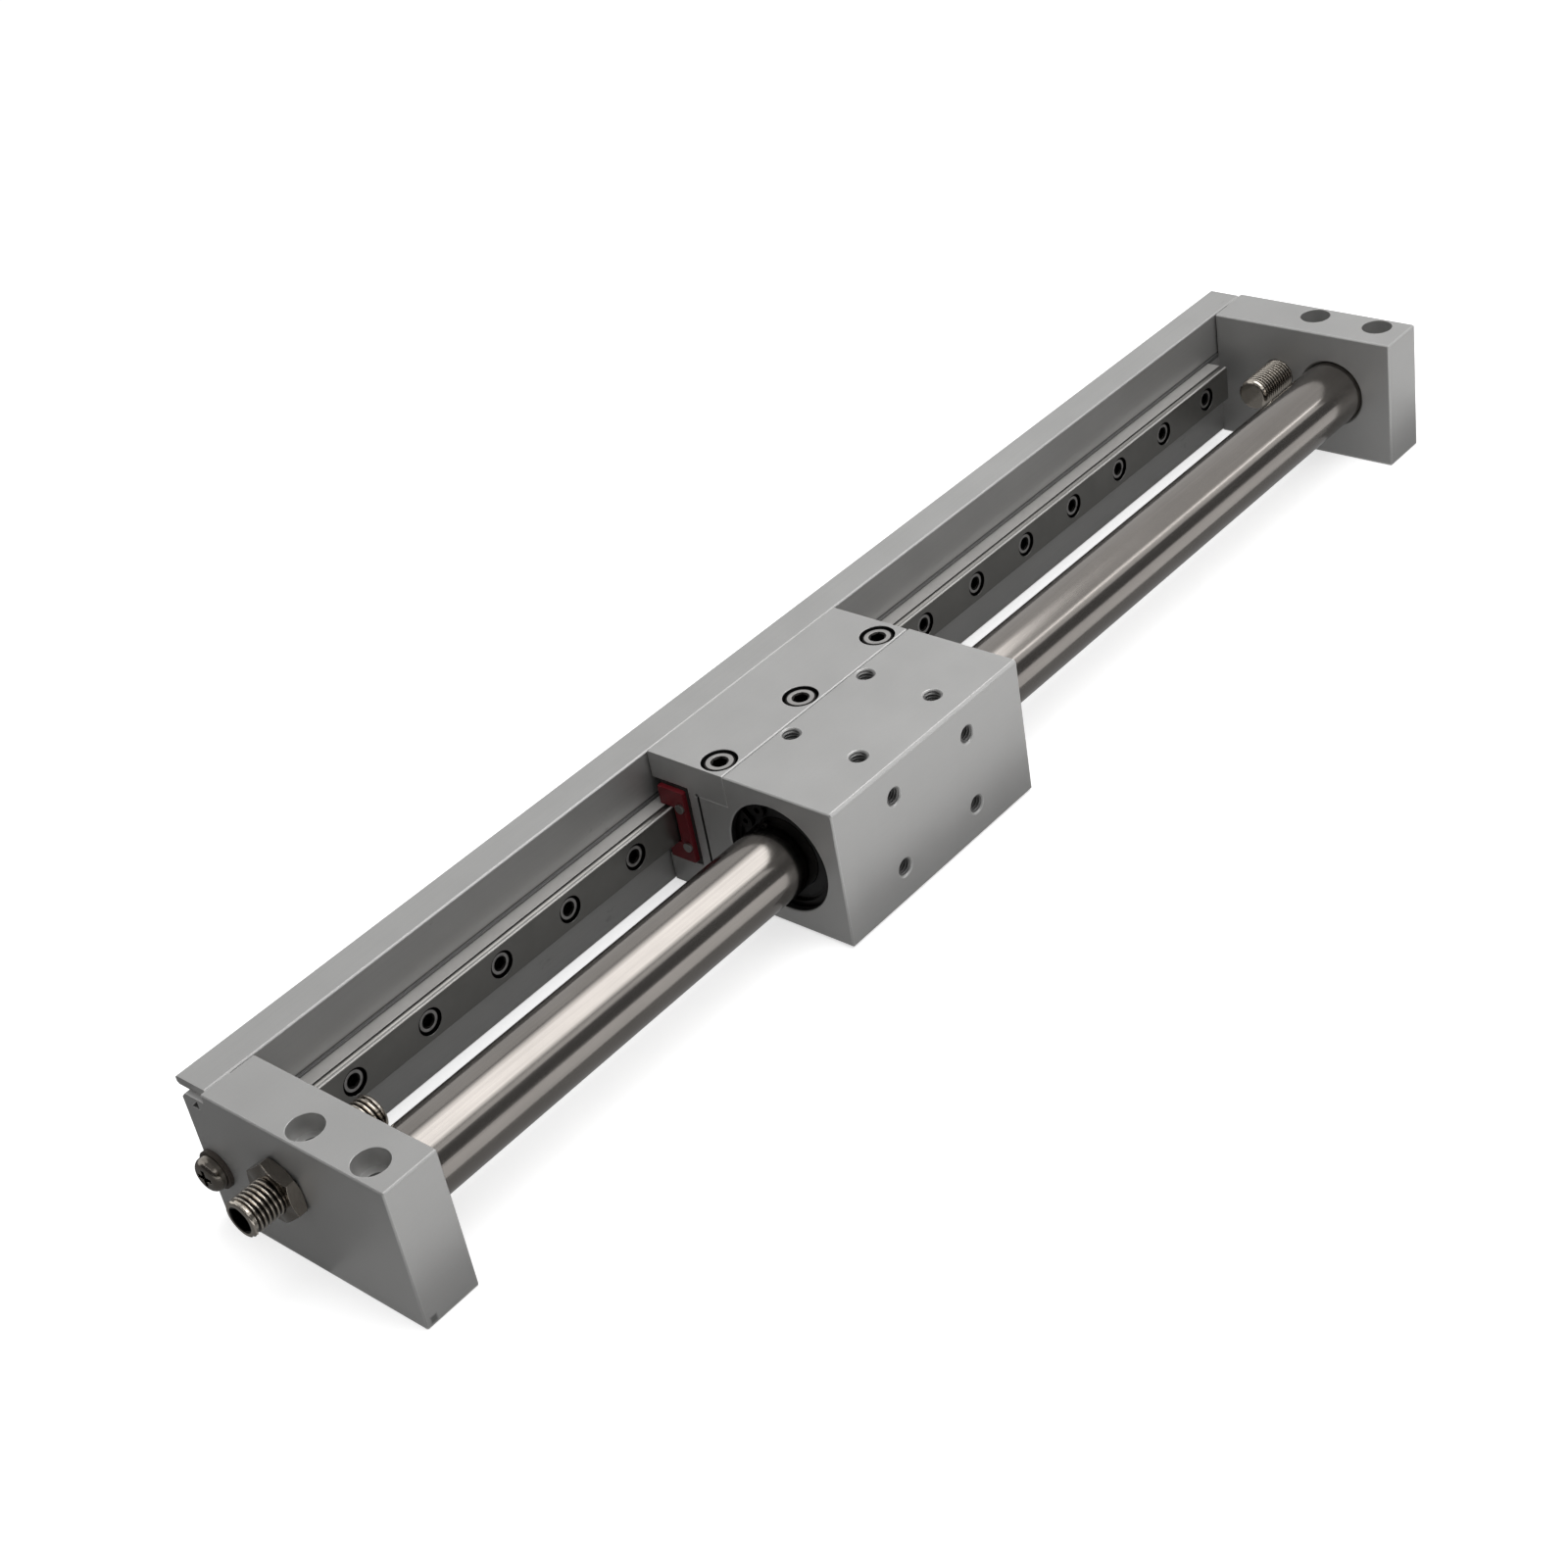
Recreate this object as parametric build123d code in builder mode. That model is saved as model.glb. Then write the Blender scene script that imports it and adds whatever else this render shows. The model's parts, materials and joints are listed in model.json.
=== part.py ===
from build123d import *
from math import cos, radians
import os

# Guided rodless cylinder, in millimetres. X runs along the stroke, Y towards the side frame, Z up.
# The origin lies on the base, under the tube, midway between the end blocks.

# Cylinder
stroke = 250.0
tube_outer = 16.6
tube_bore = 15.0
axis_height = 17.4

# Clearances
thread_gap = 0.02
running_gap = 0.05
seal_gap = 0.08
seam = 0.1
edge_break = 0.3
fine_break = 0.2

# Slider, where it stands at rest
slider_rest = -24.5
slider_length = 63.0
slider_over_axis = 16.6
slider_lift = 0.5
slider_front = 17.0
slider_bore = 25.5
slider_back_wall = 7.55
slider_front_break = 0.6
slider_hole_spacing = 25.0
slider_hole_offset = 9.0
slider_thread = 4.0
slider_thread_depth = 5.5

# Guide bracket behind the slider block
bracket_length = 62.4
bracket_flange = 7.65
bracket_lap = 8.4
bracket_web = 2.4
bracket_web_gap = 0.3
bracket_wall_gap = 0.4
bracket_top_gap = 0.5
bracket_counterbore = 8.0
bracket_screw_spacing = 26.5
bracket_screw_inset = 4.5
bracket_screw_shift = 0.3
corner_relief = 1.0

# Guide rail and its carriages
rail_width = 9.0
rail_height = 5.5
rail_pitch = 20.0
rail_end_gap = 5.0
rail_end_margin = 6.0
groove_depth_from_face = 1.4
ball = 1.5
ball_pitch = 1.62
carriage_width = 20.0
carriage_height = 10.0
carriage_lift = 2.2
carriage_gap = 2.8
carriage_cap = 4.3
carriage_seal = 1.2
carriage_web = 4.0
carriage_side_gap = 0.15
carriage_stand_out = 1.2
carriage_hole_pitch = 10.0
carriage_hole_spacing = 15.0
cap_inset = 0.2
seal_inset = 0.9
seal_screw_inset = 2.1
seal_screw_spacing = 10.0
seal_screw_head = 2.2
seal_screw_height = 0.6

# Side frame
wall_thickness = 7.2
upper_wall_setback = 0.5
flange_thickness = 2.0
flange_overhang = 2.1
flange_round = 0.8
flange_end_gap = 1.2
flange_seam = 0.25
frame_lift = 0.5
frame_lap = 6.0
sensor_slot_rise = 4.2
sensor_slot_mouth = 2.6
sensor_slot_width = 4.0
sensor_slot_lip = 1.0
sensor_slot_depth = 3.6
passage = 3.0
passage_drop = 3.6
passage_inset = 3.6

# End blocks
block_thickness = 13.0
block_over_axis = 16.1
block_front = 16.75
seat_depth = 4.0
seat_chamfer = 0.6
chamber_bore = 11.0
chamber_depth = 2.0
cross_hole = 1.8
mount_hole = 4.3
mount_counterbore = 7.5
mount_counterbore_depth = 4.4
mount_edge = 4.5
mount_spacing = 17.5
port_thread = 5.0
port_depth = 5.5
tube_seal_cord = 1.5
passage_seal_cord = 1.0
step_chamfer = 1.5
nick = 2.2
nick_drop = 0.5
nick_inset = 2.4
nick_depth = 2.0

# Stop bolts
stop_y = 15.2
stop_rise = 2.5
stop_thread = 8.0
stop_length = 33.4
stop_tip_round = 1.1
stop_end_round = 0.8
stop_socket = 5.0
stop_socket_depth = 5.0
stop_reach_at_full_stroke = 8.5
left_stop_reach = 10.0
right_stop_reach = 13.0
nut_width = 12.0
nut_thickness = 3.2
nut_turn = 22.0

# Port plug
plug_head = 7.4
plug_head_height = 2.6
plug_dome = 1.6
plug_shank = 4.5
plug_slot = 1.1
plug_slot_length = 4.0
plug_slot_depth = 1.5
gasket_outer = 8.6
gasket_thickness = 0.9

# Screws
small_thread = 3.0
small_head = 5.5
small_head_height = 3.0
small_socket = 2.5
small_socket_depth = 1.6
large_thread = 4.0
large_head = 7.0
large_head_height = 4.0
large_socket = 3.0
large_socket_depth = 2.2
head_play = 0.25
head_sink = 0.3
rail_head_sink = 0.5
rail_screw_length = 8.0
bracket_screw_length = 10.0
frame_screw_length = 10.0
frame_screw_low = 6.0
frame_screw_from_top = 6.5
carriage_screw_length = 5.6
countersink = 5.6
countersink_socket = 2.0
countersink_socket_depth = 0.9
countersink_angle = 90.0

# Magnet stacks
magnet_count = 4
magnet_length = 5.0
yoke_length = 3.0
yoke_gap = 0.3
piston_yoke_gap = 0.5
magnet_set_back = 0.1

# Rings in the slider's bore
bore_lip = 1.5
snap_ring = 1.1
snap_ring_outer = 26.9
snap_ring_inner = 22.8
snap_lug = 3.6
snap_lug_hole = 1.4
snap_lug_radius = 10.7
snap_lug_spread = 15.0
snap_gap_angle = 45.0
snap_gap = 2.4
ring_play = 0.1
holder_wall = 3.45
scraper_outer = 21.8
scraper_length = 1.8
bearing_gap = 2.5

# Piston
shaft = 5.0
head_length = 9.0
head_gap = 0.3
piston_seal_land = 1.2
piston_bearing_land = 1.4
piston_seal_length = 2.2
piston_seal_bore = 10.6
piston_bearing_length = 2.6
piston_bearing_bore = 12.6
bumper_length = 2.5
bumper_outer = 13.0
bumper_bore = 9.6
shaft_nut_width = 8.0
shaft_nut_thickness = 3.2

# Lengths that follow
block_gap = stroke + slider_length + 2 * stop_reach_at_full_stroke
half_gap = block_gap / 2
half_overall = half_gap + block_thickness

# Heights and depths that follow
slider_bottom = slider_lift
slider_top = axis_height + slider_over_axis
block_height = axis_height + block_over_axis
stop_height = axis_height + stop_rise
sensor_slot_height = axis_height + sensor_slot_rise
frame_screw_high = block_height - frame_screw_from_top
block_seam_y = slider_bore / 2 + slider_back_wall
web_front = block_seam_y + bracket_web_gap
carriage_face = web_front + bracket_web
wall_front = carriage_face + carriage_height
upper_wall_front = wall_front + upper_wall_setback
wall_back = wall_front + wall_thickness
rail_face = wall_front - rail_height
rail_groove = rail_face + groove_depth_from_face
carriage_back = wall_front - carriage_lift
ledge_height = slider_top - bracket_flange
top_seam_y = block_seam_y - bracket_lap
step_height = block_height - flange_thickness
passage_y = wall_front + passage_inset
passage_height = axis_height - passage_drop


def across(x):
    """Plane square to the stroke at x, facing +X, with Y and Z as its axes."""
    return Plane.YZ.offset(x)


def facing_left(x):
    """Plane square to the stroke at x, facing -X."""
    return Plane(origin=(x, 0, 0), x_dir=(0, -1, 0), z_dir=(-1, 0, 0))


def facing_front(y):
    """Upright plane along the stroke at y, facing -Y, with X and Z as its axes."""
    return Plane(origin=(0, y, 0), x_dir=(1, 0, 0), z_dir=(0, -1, 0))


def facing_back(y):
    """Upright plane along the stroke at y, facing +Y."""
    return Plane(origin=(0, y, 0), x_dir=(-1, 0, 0), z_dir=(0, 1, 0))


def keep(piece, name):
    """Label a finished piece and write it."""
    piece.part.label = name
    export_step(piece.part, f"parts/{name}.step")


def disc(outer, start, end):
    """Round disc about the tube's axis between two places along the stroke."""
    with BuildPart() as piece:
        with BuildSketch(across(start)):
            with Locations((0, axis_height)):
                Circle(outer / 2)
        extrude(amount=end - start)
    return piece.part


def ring(outer, bore, start, end):
    """Round ring about the tube's axis between two places along the stroke."""
    with BuildPart() as piece:
        with BuildSketch(across(start)):
            with Locations((0, axis_height)):
                Circle(outer / 2)
                Circle(bore / 2, mode=Mode.SUBTRACT)
        extrude(amount=end - start)
    return piece.part


def cap_screw(thread, head, height, socket, socket_depth, length):
    """Socket head cap screw, its head standing up from the origin along +Z."""
    with BuildPart() as piece:
        Cylinder(head / 2, height, align=(Align.CENTER, Align.CENTER, Align.MIN))
        chamfer(piece.edges().sort_by(Axis.Z)[-1], edge_break)
        with BuildSketch(Plane.XY.offset(height)):
            RegularPolygon(socket / 2, 6, major_radius=False)
        extrude(amount=-socket_depth, mode=Mode.SUBTRACT)
        Cylinder(thread / 2, length, align=(Align.CENTER, Align.CENTER, Align.MAX))
        chamfer(piece.edges().sort_by(Axis.Z)[0], edge_break)
    return piece.part


def countersunk_screw(thread, head, length):
    """Countersunk screw with its flat top at the origin, pointing along -Z."""
    cone = (head - thread) / 2
    with BuildPart() as piece:
        Cone(thread / 2, head / 2, cone, align=(Align.CENTER, Align.CENTER, Align.MAX))
        Cylinder(thread / 2, length, align=(Align.CENTER, Align.CENTER, Align.MAX))
        with BuildSketch():
            RegularPolygon(countersink_socket / 2, 6, major_radius=False)
        extrude(amount=-countersink_socket_depth, mode=Mode.SUBTRACT)
    return piece.part


def end_block_blank():
    """Right-hand end block without its air ports."""
    outer_x = half_overall
    mount_x = outer_x - mount_edge
    chamber_x = half_gap + seat_depth
    with BuildPart() as block:
        with BuildSketch(across(half_gap)):
            with Locations((-block_front, 0)):
                Rectangle(block_front + wall_back, block_height, align=Align.MIN)
        extrude(amount=block_thickness)
        chamfer(block.edges(), edge_break)
        # Step that carries the frame's flange
        with BuildSketch(across(half_gap)):
            with Locations((upper_wall_front - flange_seam, step_height)):
                Rectangle(wall_back, flange_thickness, align=Align.MIN)
        extrude(amount=block_thickness, mode=Mode.SUBTRACT)
        step_edge = block.edges().filter_by(Axis.X).filter_by_position(
            Axis.Z, step_height - running_gap, step_height + running_gap
        )
        chamfer(step_edge.sort_by(Axis.Y)[-1], step_chamfer)
        # Rebate that takes the end of the frame's wall
        with BuildSketch(across(half_gap)):
            with Locations((wall_front, 0)):
                Rectangle(wall_back, block_height, align=Align.MIN)
        extrude(amount=frame_lap, mode=Mode.SUBTRACT)
        # Three-cornered nick in the outer face, under the flange
        nick_y = wall_front + nick_inset
        nick_top = step_height - nick_drop
        with BuildSketch(across(outer_x)):
            with BuildLine():
                Polyline(
                    (nick_y, nick_top),
                    (nick_y, nick_top - nick),
                    (nick_y + nick, nick_top - nick),
                    close=True,
                )
            make_face()
        extrude(amount=-nick_depth, mode=Mode.SUBTRACT)
        # Seat for the tube, with a groove for its seal and the air chamber behind it
        with BuildSketch(across(half_gap)):
            with Locations((0, axis_height)):
                Circle(tube_outer / 2 + running_gap)
        extrude(amount=seat_depth, mode=Mode.SUBTRACT)
        mouth = block.faces().sort_by(Axis.X)[0].edges().filter_by(GeomType.CIRCLE)
        chamfer(mouth.sort_by(SortBy.RADIUS)[-1], seat_chamfer)
        with BuildSketch(across(half_gap + (seat_depth - tube_seal_cord) / 2)):
            with Locations((0, axis_height)):
                Circle(tube_outer / 2 + tube_seal_cord)
        extrude(amount=tube_seal_cord + ring_play, mode=Mode.SUBTRACT)
        with BuildSketch(across(chamber_x)):
            with Locations((0, axis_height)):
                Circle(chamber_bore / 2)
        extrude(amount=chamber_depth, mode=Mode.SUBTRACT)
        # Counterbored mounting holes
        with Locations(Plane.XY.offset(block_height)):
            with Locations((mount_x, -mount_spacing / 2), (mount_x, mount_spacing / 2)):
                CounterBoreHole(mount_hole / 2, mount_counterbore / 2, mount_counterbore_depth)
        # Threaded hole for the stop bolt
        with BuildSketch(across(half_gap)):
            with Locations((stop_y, stop_height)):
                Circle(stop_thread / 2 + running_gap)
        extrude(amount=block_thickness, mode=Mode.SUBTRACT)
        # Threads for the frame's screws
        with Locations(facing_back(wall_front)):
            with Locations((-frame_screw_x, frame_screw_low), (-frame_screw_x, frame_screw_high)):
                Hole(small_thread / 2 + thread_gap, frame_thread_depth)
    return block.part


os.makedirs("parts", exist_ok=True)

# Side frame

frame_screw_x = half_gap + frame_lap / 2
screw_seat = wall_back - small_head_height - head_sink
frame_thread_depth = frame_screw_length - (screw_seat - wall_front) + ring_play
wall_end = half_gap + frame_lap - running_gap
flange_end = half_overall - flange_end_gap
rail_half = half_gap - rail_end_gap
rail_screw_count = int((2 * rail_half - 2 * rail_end_margin) // rail_pitch) + 1
rail_screw_seat = small_head_height + rail_head_sink
rail_thread_depth = rail_screw_length + rail_screw_seat - rail_height + ring_play

with BuildPart() as side_frame:
    with BuildSketch(across(-wall_end)):
        with Locations((wall_front, frame_lift)):
            Rectangle(wall_thickness, step_height - frame_lift, align=Align.MIN)
    extrude(amount=2 * wall_end)
    with BuildSketch(across(-flange_end)):
        with Locations((upper_wall_front, step_height)):
            flange_depth = wall_back + flange_overhang - upper_wall_front
            Rectangle(flange_depth, flange_thickness, align=Align.MIN)
    extrude(amount=2 * flange_end)
    # The wall stands back a little above the rail
    with BuildSketch(across(-wall_end)):
        with Locations((wall_front, axis_height + rail_width / 2 + upper_wall_setback)):
            Rectangle(upper_wall_setback, block_height, align=Align.MIN)
    extrude(amount=2 * wall_end, mode=Mode.SUBTRACT)
    flange_edges = side_frame.edges().filter_by(Axis.X).group_by(Axis.Y)[-1]
    fillet(flange_edges, flange_round)
    top_front = side_frame.edges().filter_by(Axis.X).group_by(Axis.Z)[-1]
    chamfer(top_front.sort_by(Axis.Y)[0], edge_break)
    # Slot for a sensor along the back
    with BuildSketch(across(-wall_end)):
        with Locations((wall_back, sensor_slot_height)):
            Rectangle(2 * sensor_slot_depth, sensor_slot_mouth)
        with Locations((wall_back - sensor_slot_lip, sensor_slot_height)):
            Rectangle(
                sensor_slot_depth - sensor_slot_lip,
                sensor_slot_width,
                align=(Align.MAX, Align.CENTER),
            )
    extrude(amount=2 * wall_end, mode=Mode.SUBTRACT)
    # Air passage through the wall, with a side hole at its left end
    with BuildSketch(across(-wall_end)):
        with Locations((passage_y, passage_height)):
            Circle(passage / 2)
    extrude(amount=2 * wall_end, mode=Mode.SUBTRACT)
    chamber_middle = half_gap + seat_depth + chamber_depth / 2
    with BuildSketch(facing_front(wall_front)):
        with Locations((-chamber_middle, passage_height)):
            Circle(cross_hole / 2)
    extrude(amount=-passage_inset, mode=Mode.SUBTRACT)
    # Threads for the rail's screws
    with Locations(facing_front(wall_front)):
        with Locations((0, axis_height)):
            with GridLocations(rail_pitch, 1, rail_screw_count, 1):
                Hole(small_thread / 2 + thread_gap, rail_thread_depth)
    # Counterbored holes for the frame's own screws
    with Locations(facing_back(wall_back)):
        with Locations(
            (-frame_screw_x, frame_screw_low),
            (-frame_screw_x, frame_screw_high),
            (frame_screw_x, frame_screw_low),
            (frame_screw_x, frame_screw_high),
        ):
            CounterBoreHole(
                small_thread / 2 + head_play / 2,
                small_head / 2 + head_play,
                wall_back - screw_seat,
                wall_thickness,
            )
keep(side_frame, "side_frame")

frame_screw = cap_screw(
    small_thread,
    small_head,
    small_head_height,
    small_socket,
    small_socket_depth,
    frame_screw_length,
)

with BuildPart() as frame_screws:
    with Locations(facing_back(screw_seat)):
        with Locations(
            (-frame_screw_x, frame_screw_low),
            (-frame_screw_x, frame_screw_high),
            (frame_screw_x, frame_screw_low),
            (frame_screw_x, frame_screw_high),
        ):
            add(frame_screw)
keep(frame_screws, "frame_screws")

# End blocks

block_blank = end_block_blank()
passage_seal_bore = passage + ring_play
passage_seal_outer = passage_seal_bore + 2 * passage_seal_cord
seal_groove = passage_seal_cord - running_gap

with BuildPart() as left_end_block:
    add(block_blank)
    mirror(about=Plane.YZ, mode=Mode.REPLACE)
    # Plugged port on the outer face, opening onto the end of the frame's passage
    with BuildSketch(facing_left(-half_overall)):
        with Locations((-passage_y, passage_height)):
            Circle(port_thread / 2)
    extrude(amount=-port_depth, mode=Mode.SUBTRACT)
    with BuildSketch(facing_left(-half_overall)):
        with Locations((-passage_y, passage_height)):
            Circle(passage / 2)
    extrude(amount=-block_thickness, mode=Mode.SUBTRACT)
    # Cross hole from the frame's passage to the air chamber
    with BuildSketch(facing_front(wall_front)):
        with Locations((-chamber_middle, passage_height)):
            Circle(cross_hole / 2)
    extrude(amount=wall_front, mode=Mode.SUBTRACT)
    # Seats for the two passage seals
    with BuildSketch(across(-half_gap - frame_lap)):
        with Locations((passage_y, passage_height)):
            Circle(passage_seal_outer / 2)
    extrude(amount=-seal_groove, mode=Mode.SUBTRACT)
    with BuildSketch(facing_back(wall_front)):
        with Locations((chamber_middle, passage_height)):
            Circle(cross_hole / 2 + ring_play / 2 + passage_seal_cord)
    extrude(amount=-seal_groove, mode=Mode.SUBTRACT)
keep(left_end_block, "left_end_block")

with BuildPart() as right_end_block:
    add(block_blank)
    # Port that feeds the frame's passage
    with BuildSketch(across(half_overall)):
        with Locations((passage_y, passage_height)):
            Circle(port_thread / 2)
    extrude(amount=-port_depth, mode=Mode.SUBTRACT)
    with BuildSketch(across(half_overall)):
        with Locations((passage_y, passage_height)):
            Circle(passage / 2)
    extrude(amount=-block_thickness, mode=Mode.SUBTRACT)
    with BuildSketch(facing_left(half_gap + frame_lap)):
        with Locations((-passage_y, passage_height)):
            Circle(passage_seal_outer / 2)
    extrude(amount=-seal_groove, mode=Mode.SUBTRACT)
    # Port that feeds the right-hand air chamber
    with BuildSketch(across(half_overall)):
        with Locations((0, axis_height)):
            Circle(port_thread / 2)
    extrude(amount=-port_depth, mode=Mode.SUBTRACT)
    with BuildSketch(across(half_overall)):
        with Locations((0, axis_height)):
            Circle(passage / 2)
    extrude(amount=-block_thickness, mode=Mode.SUBTRACT)
keep(right_end_block, "right_end_block")

with BuildPart() as passage_seals:
    for sign in (-1, 1):
        with Locations(across(sign * (half_gap + frame_lap + seal_groove / 2))):
            with Locations((passage_y, passage_height)):
                Torus((passage_seal_bore + passage_seal_cord) / 2, seal_groove / 2 - thread_gap)
    with Locations(facing_front(wall_front - seal_groove / 2)):
        with Locations((-chamber_middle, passage_height)):
            Torus((cross_hole + ring_play + passage_seal_cord) / 2, seal_groove / 2 - thread_gap)
keep(passage_seals, "passage_seals")

# Tube and its seals

with BuildPart() as cylinder_tube:
    add(ring(tube_outer, tube_bore, -half_gap - seat_depth, half_gap + seat_depth))
    rims = cylinder_tube.edges().filter_by(GeomType.CIRCLE)
    chamfer(rims, fine_break)
keep(cylinder_tube, "cylinder_tube")

for side, sign in (("left", -1), ("right", 1)):
    with BuildPart() as tube_seal:
        with Locations(across(sign * (half_gap + (seat_depth + ring_play) / 2))):
            with Locations((0, axis_height)):
                Torus((tube_outer + tube_seal_cord) / 2, tube_seal_cord / 2 - thread_gap)
    keep(tube_seal, f"{side}_tube_seal")

# Port plug with its gasket

with BuildPart() as port_plug_gasket:
    with BuildSketch(facing_left(-half_overall)):
        with Locations((-passage_y, passage_height)):
            Circle(gasket_outer / 2)
            Circle(port_thread / 2 + thread_gap, mode=Mode.SUBTRACT)
    extrude(amount=gasket_thickness)
keep(port_plug_gasket, "port_plug_gasket")

with BuildPart() as port_plug:
    with BuildSketch(facing_left(-half_overall - gasket_thickness)):
        with Locations((-passage_y, passage_height)):
            Circle(plug_head / 2)
    extrude(amount=plug_head_height)
    fillet(port_plug.edges().sort_by(Axis.X)[0], plug_dome)
    with BuildSketch(facing_left(-half_overall - gasket_thickness - plug_head_height)):
        with Locations((-passage_y, passage_height)):
            Rectangle(plug_slot_length, plug_slot)
            Rectangle(plug_slot, plug_slot_length)
    extrude(amount=-plug_slot_depth, mode=Mode.SUBTRACT)
    with BuildSketch(facing_left(-half_overall - gasket_thickness)):
        with Locations((-passage_y, passage_height)):
            Circle(port_thread / 2 - thread_gap)
    extrude(amount=-plug_shank)
keep(port_plug, "port_plug")

# Guide rail

with BuildPart() as guide_rail:
    with BuildSketch(across(-rail_half)):
        with Locations((rail_face + rail_height / 2, axis_height)):
            Rectangle(rail_height, rail_width)
        with Locations((rail_groove, axis_height)):
            with GridLocations(1, rail_width, 1, 2):
                Circle(ball / 2 + running_gap, mode=Mode.SUBTRACT)
    extrude(amount=2 * rail_half)
    face_edges = guide_rail.edges().filter_by(Axis.X).group_by(Axis.Y)[0]
    chamfer(face_edges, fine_break)
    with Locations(facing_front(rail_face)):
        with Locations((0, axis_height)):
            with GridLocations(rail_pitch, 1, rail_screw_count, 1):
                CounterBoreHole(
                    small_thread / 2 + head_play,
                    small_head / 2 + head_play,
                    rail_screw_seat,
                    rail_height,
                )
keep(guide_rail, "guide_rail")

rail_screw = cap_screw(
    small_thread,
    small_head,
    small_head_height,
    small_socket,
    small_socket_depth,
    rail_screw_length,
)

with BuildPart() as guide_rail_screws:
    with Locations(facing_front(rail_face + rail_screw_seat)):
        with Locations((0, axis_height)):
            with GridLocations(rail_pitch, 1, rail_screw_count, 1):
                add(rail_screw)
keep(guide_rail_screws, "guide_rail_screws")

# Stop bolts and lock nuts


def stop_bolt(tip_x, sign):
    """Stop bolt with its tip at tip_x; sign is the side that it screws out to."""
    end_x = tip_x + sign * stop_length
    outer_end = across(end_x) if sign > 0 else facing_left(end_x)
    with BuildPart() as bolt:
        with BuildSketch(outer_end):
            with Locations((sign * stop_y, stop_height)):
                Circle(stop_thread / 2)
        extrude(amount=-stop_length)
        rims = bolt.edges().filter_by(GeomType.CIRCLE).sort_by(Axis.X)
        inner_rim, outer_rim = (rims[0], rims[-1]) if sign > 0 else (rims[-1], rims[0])
        fillet(inner_rim, stop_tip_round)
        fillet(outer_rim, stop_end_round)
        with BuildSketch(outer_end):
            with Locations((sign * stop_y, stop_height)):
                RegularPolygon(stop_socket / 2, 6, major_radius=False)
        extrude(amount=-stop_socket_depth, mode=Mode.SUBTRACT)
    return bolt.part


with BuildPart() as left_stop_bolt:
    add(stop_bolt(-half_gap + left_stop_reach, -1))
keep(left_stop_bolt, "left_stop_bolt")

with BuildPart() as right_stop_bolt:
    add(stop_bolt(half_gap - right_stop_reach, 1))
keep(right_stop_bolt, "right_stop_bolt")

for side, sign in (("left", -1), ("right", 1)):
    seat = across(half_overall) if sign > 0 else facing_left(-half_overall)
    with BuildPart() as lock_nut:
        with BuildSketch(seat):
            with Locations((sign * stop_y, stop_height)):
                RegularPolygon(nut_width / 2, 6, major_radius=False, rotation=sign * nut_turn)
        extrude(amount=nut_thickness)
        # Corners turned off, as on a hexagon bar
        with BuildSketch(seat):
            with Locations((sign * stop_y, stop_height)):
                Circle(nut_width / 2 / cos(radians(30)) - edge_break)
        extrude(amount=nut_thickness, mode=Mode.INTERSECT)
        with BuildSketch(seat):
            with Locations((sign * stop_y, stop_height)):
                Circle(stop_thread / 2 + running_gap)
        extrude(amount=nut_thickness, mode=Mode.SUBTRACT)
    keep(lock_nut, f"{side}_lock_nut")

# Slider block

slider_left = slider_rest - slider_length / 2
slider_right = slider_rest + slider_length / 2
bracket_middle = slider_left + bracket_length / 2
bracket_screw_x = bracket_middle - bracket_screw_shift
bracket_screw_y = top_seam_y + bracket_screw_inset
bracket_screw_depth = large_head_height + head_sink
bracket_thread = bracket_screw_length - (bracket_flange - bracket_screw_depth)

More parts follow.
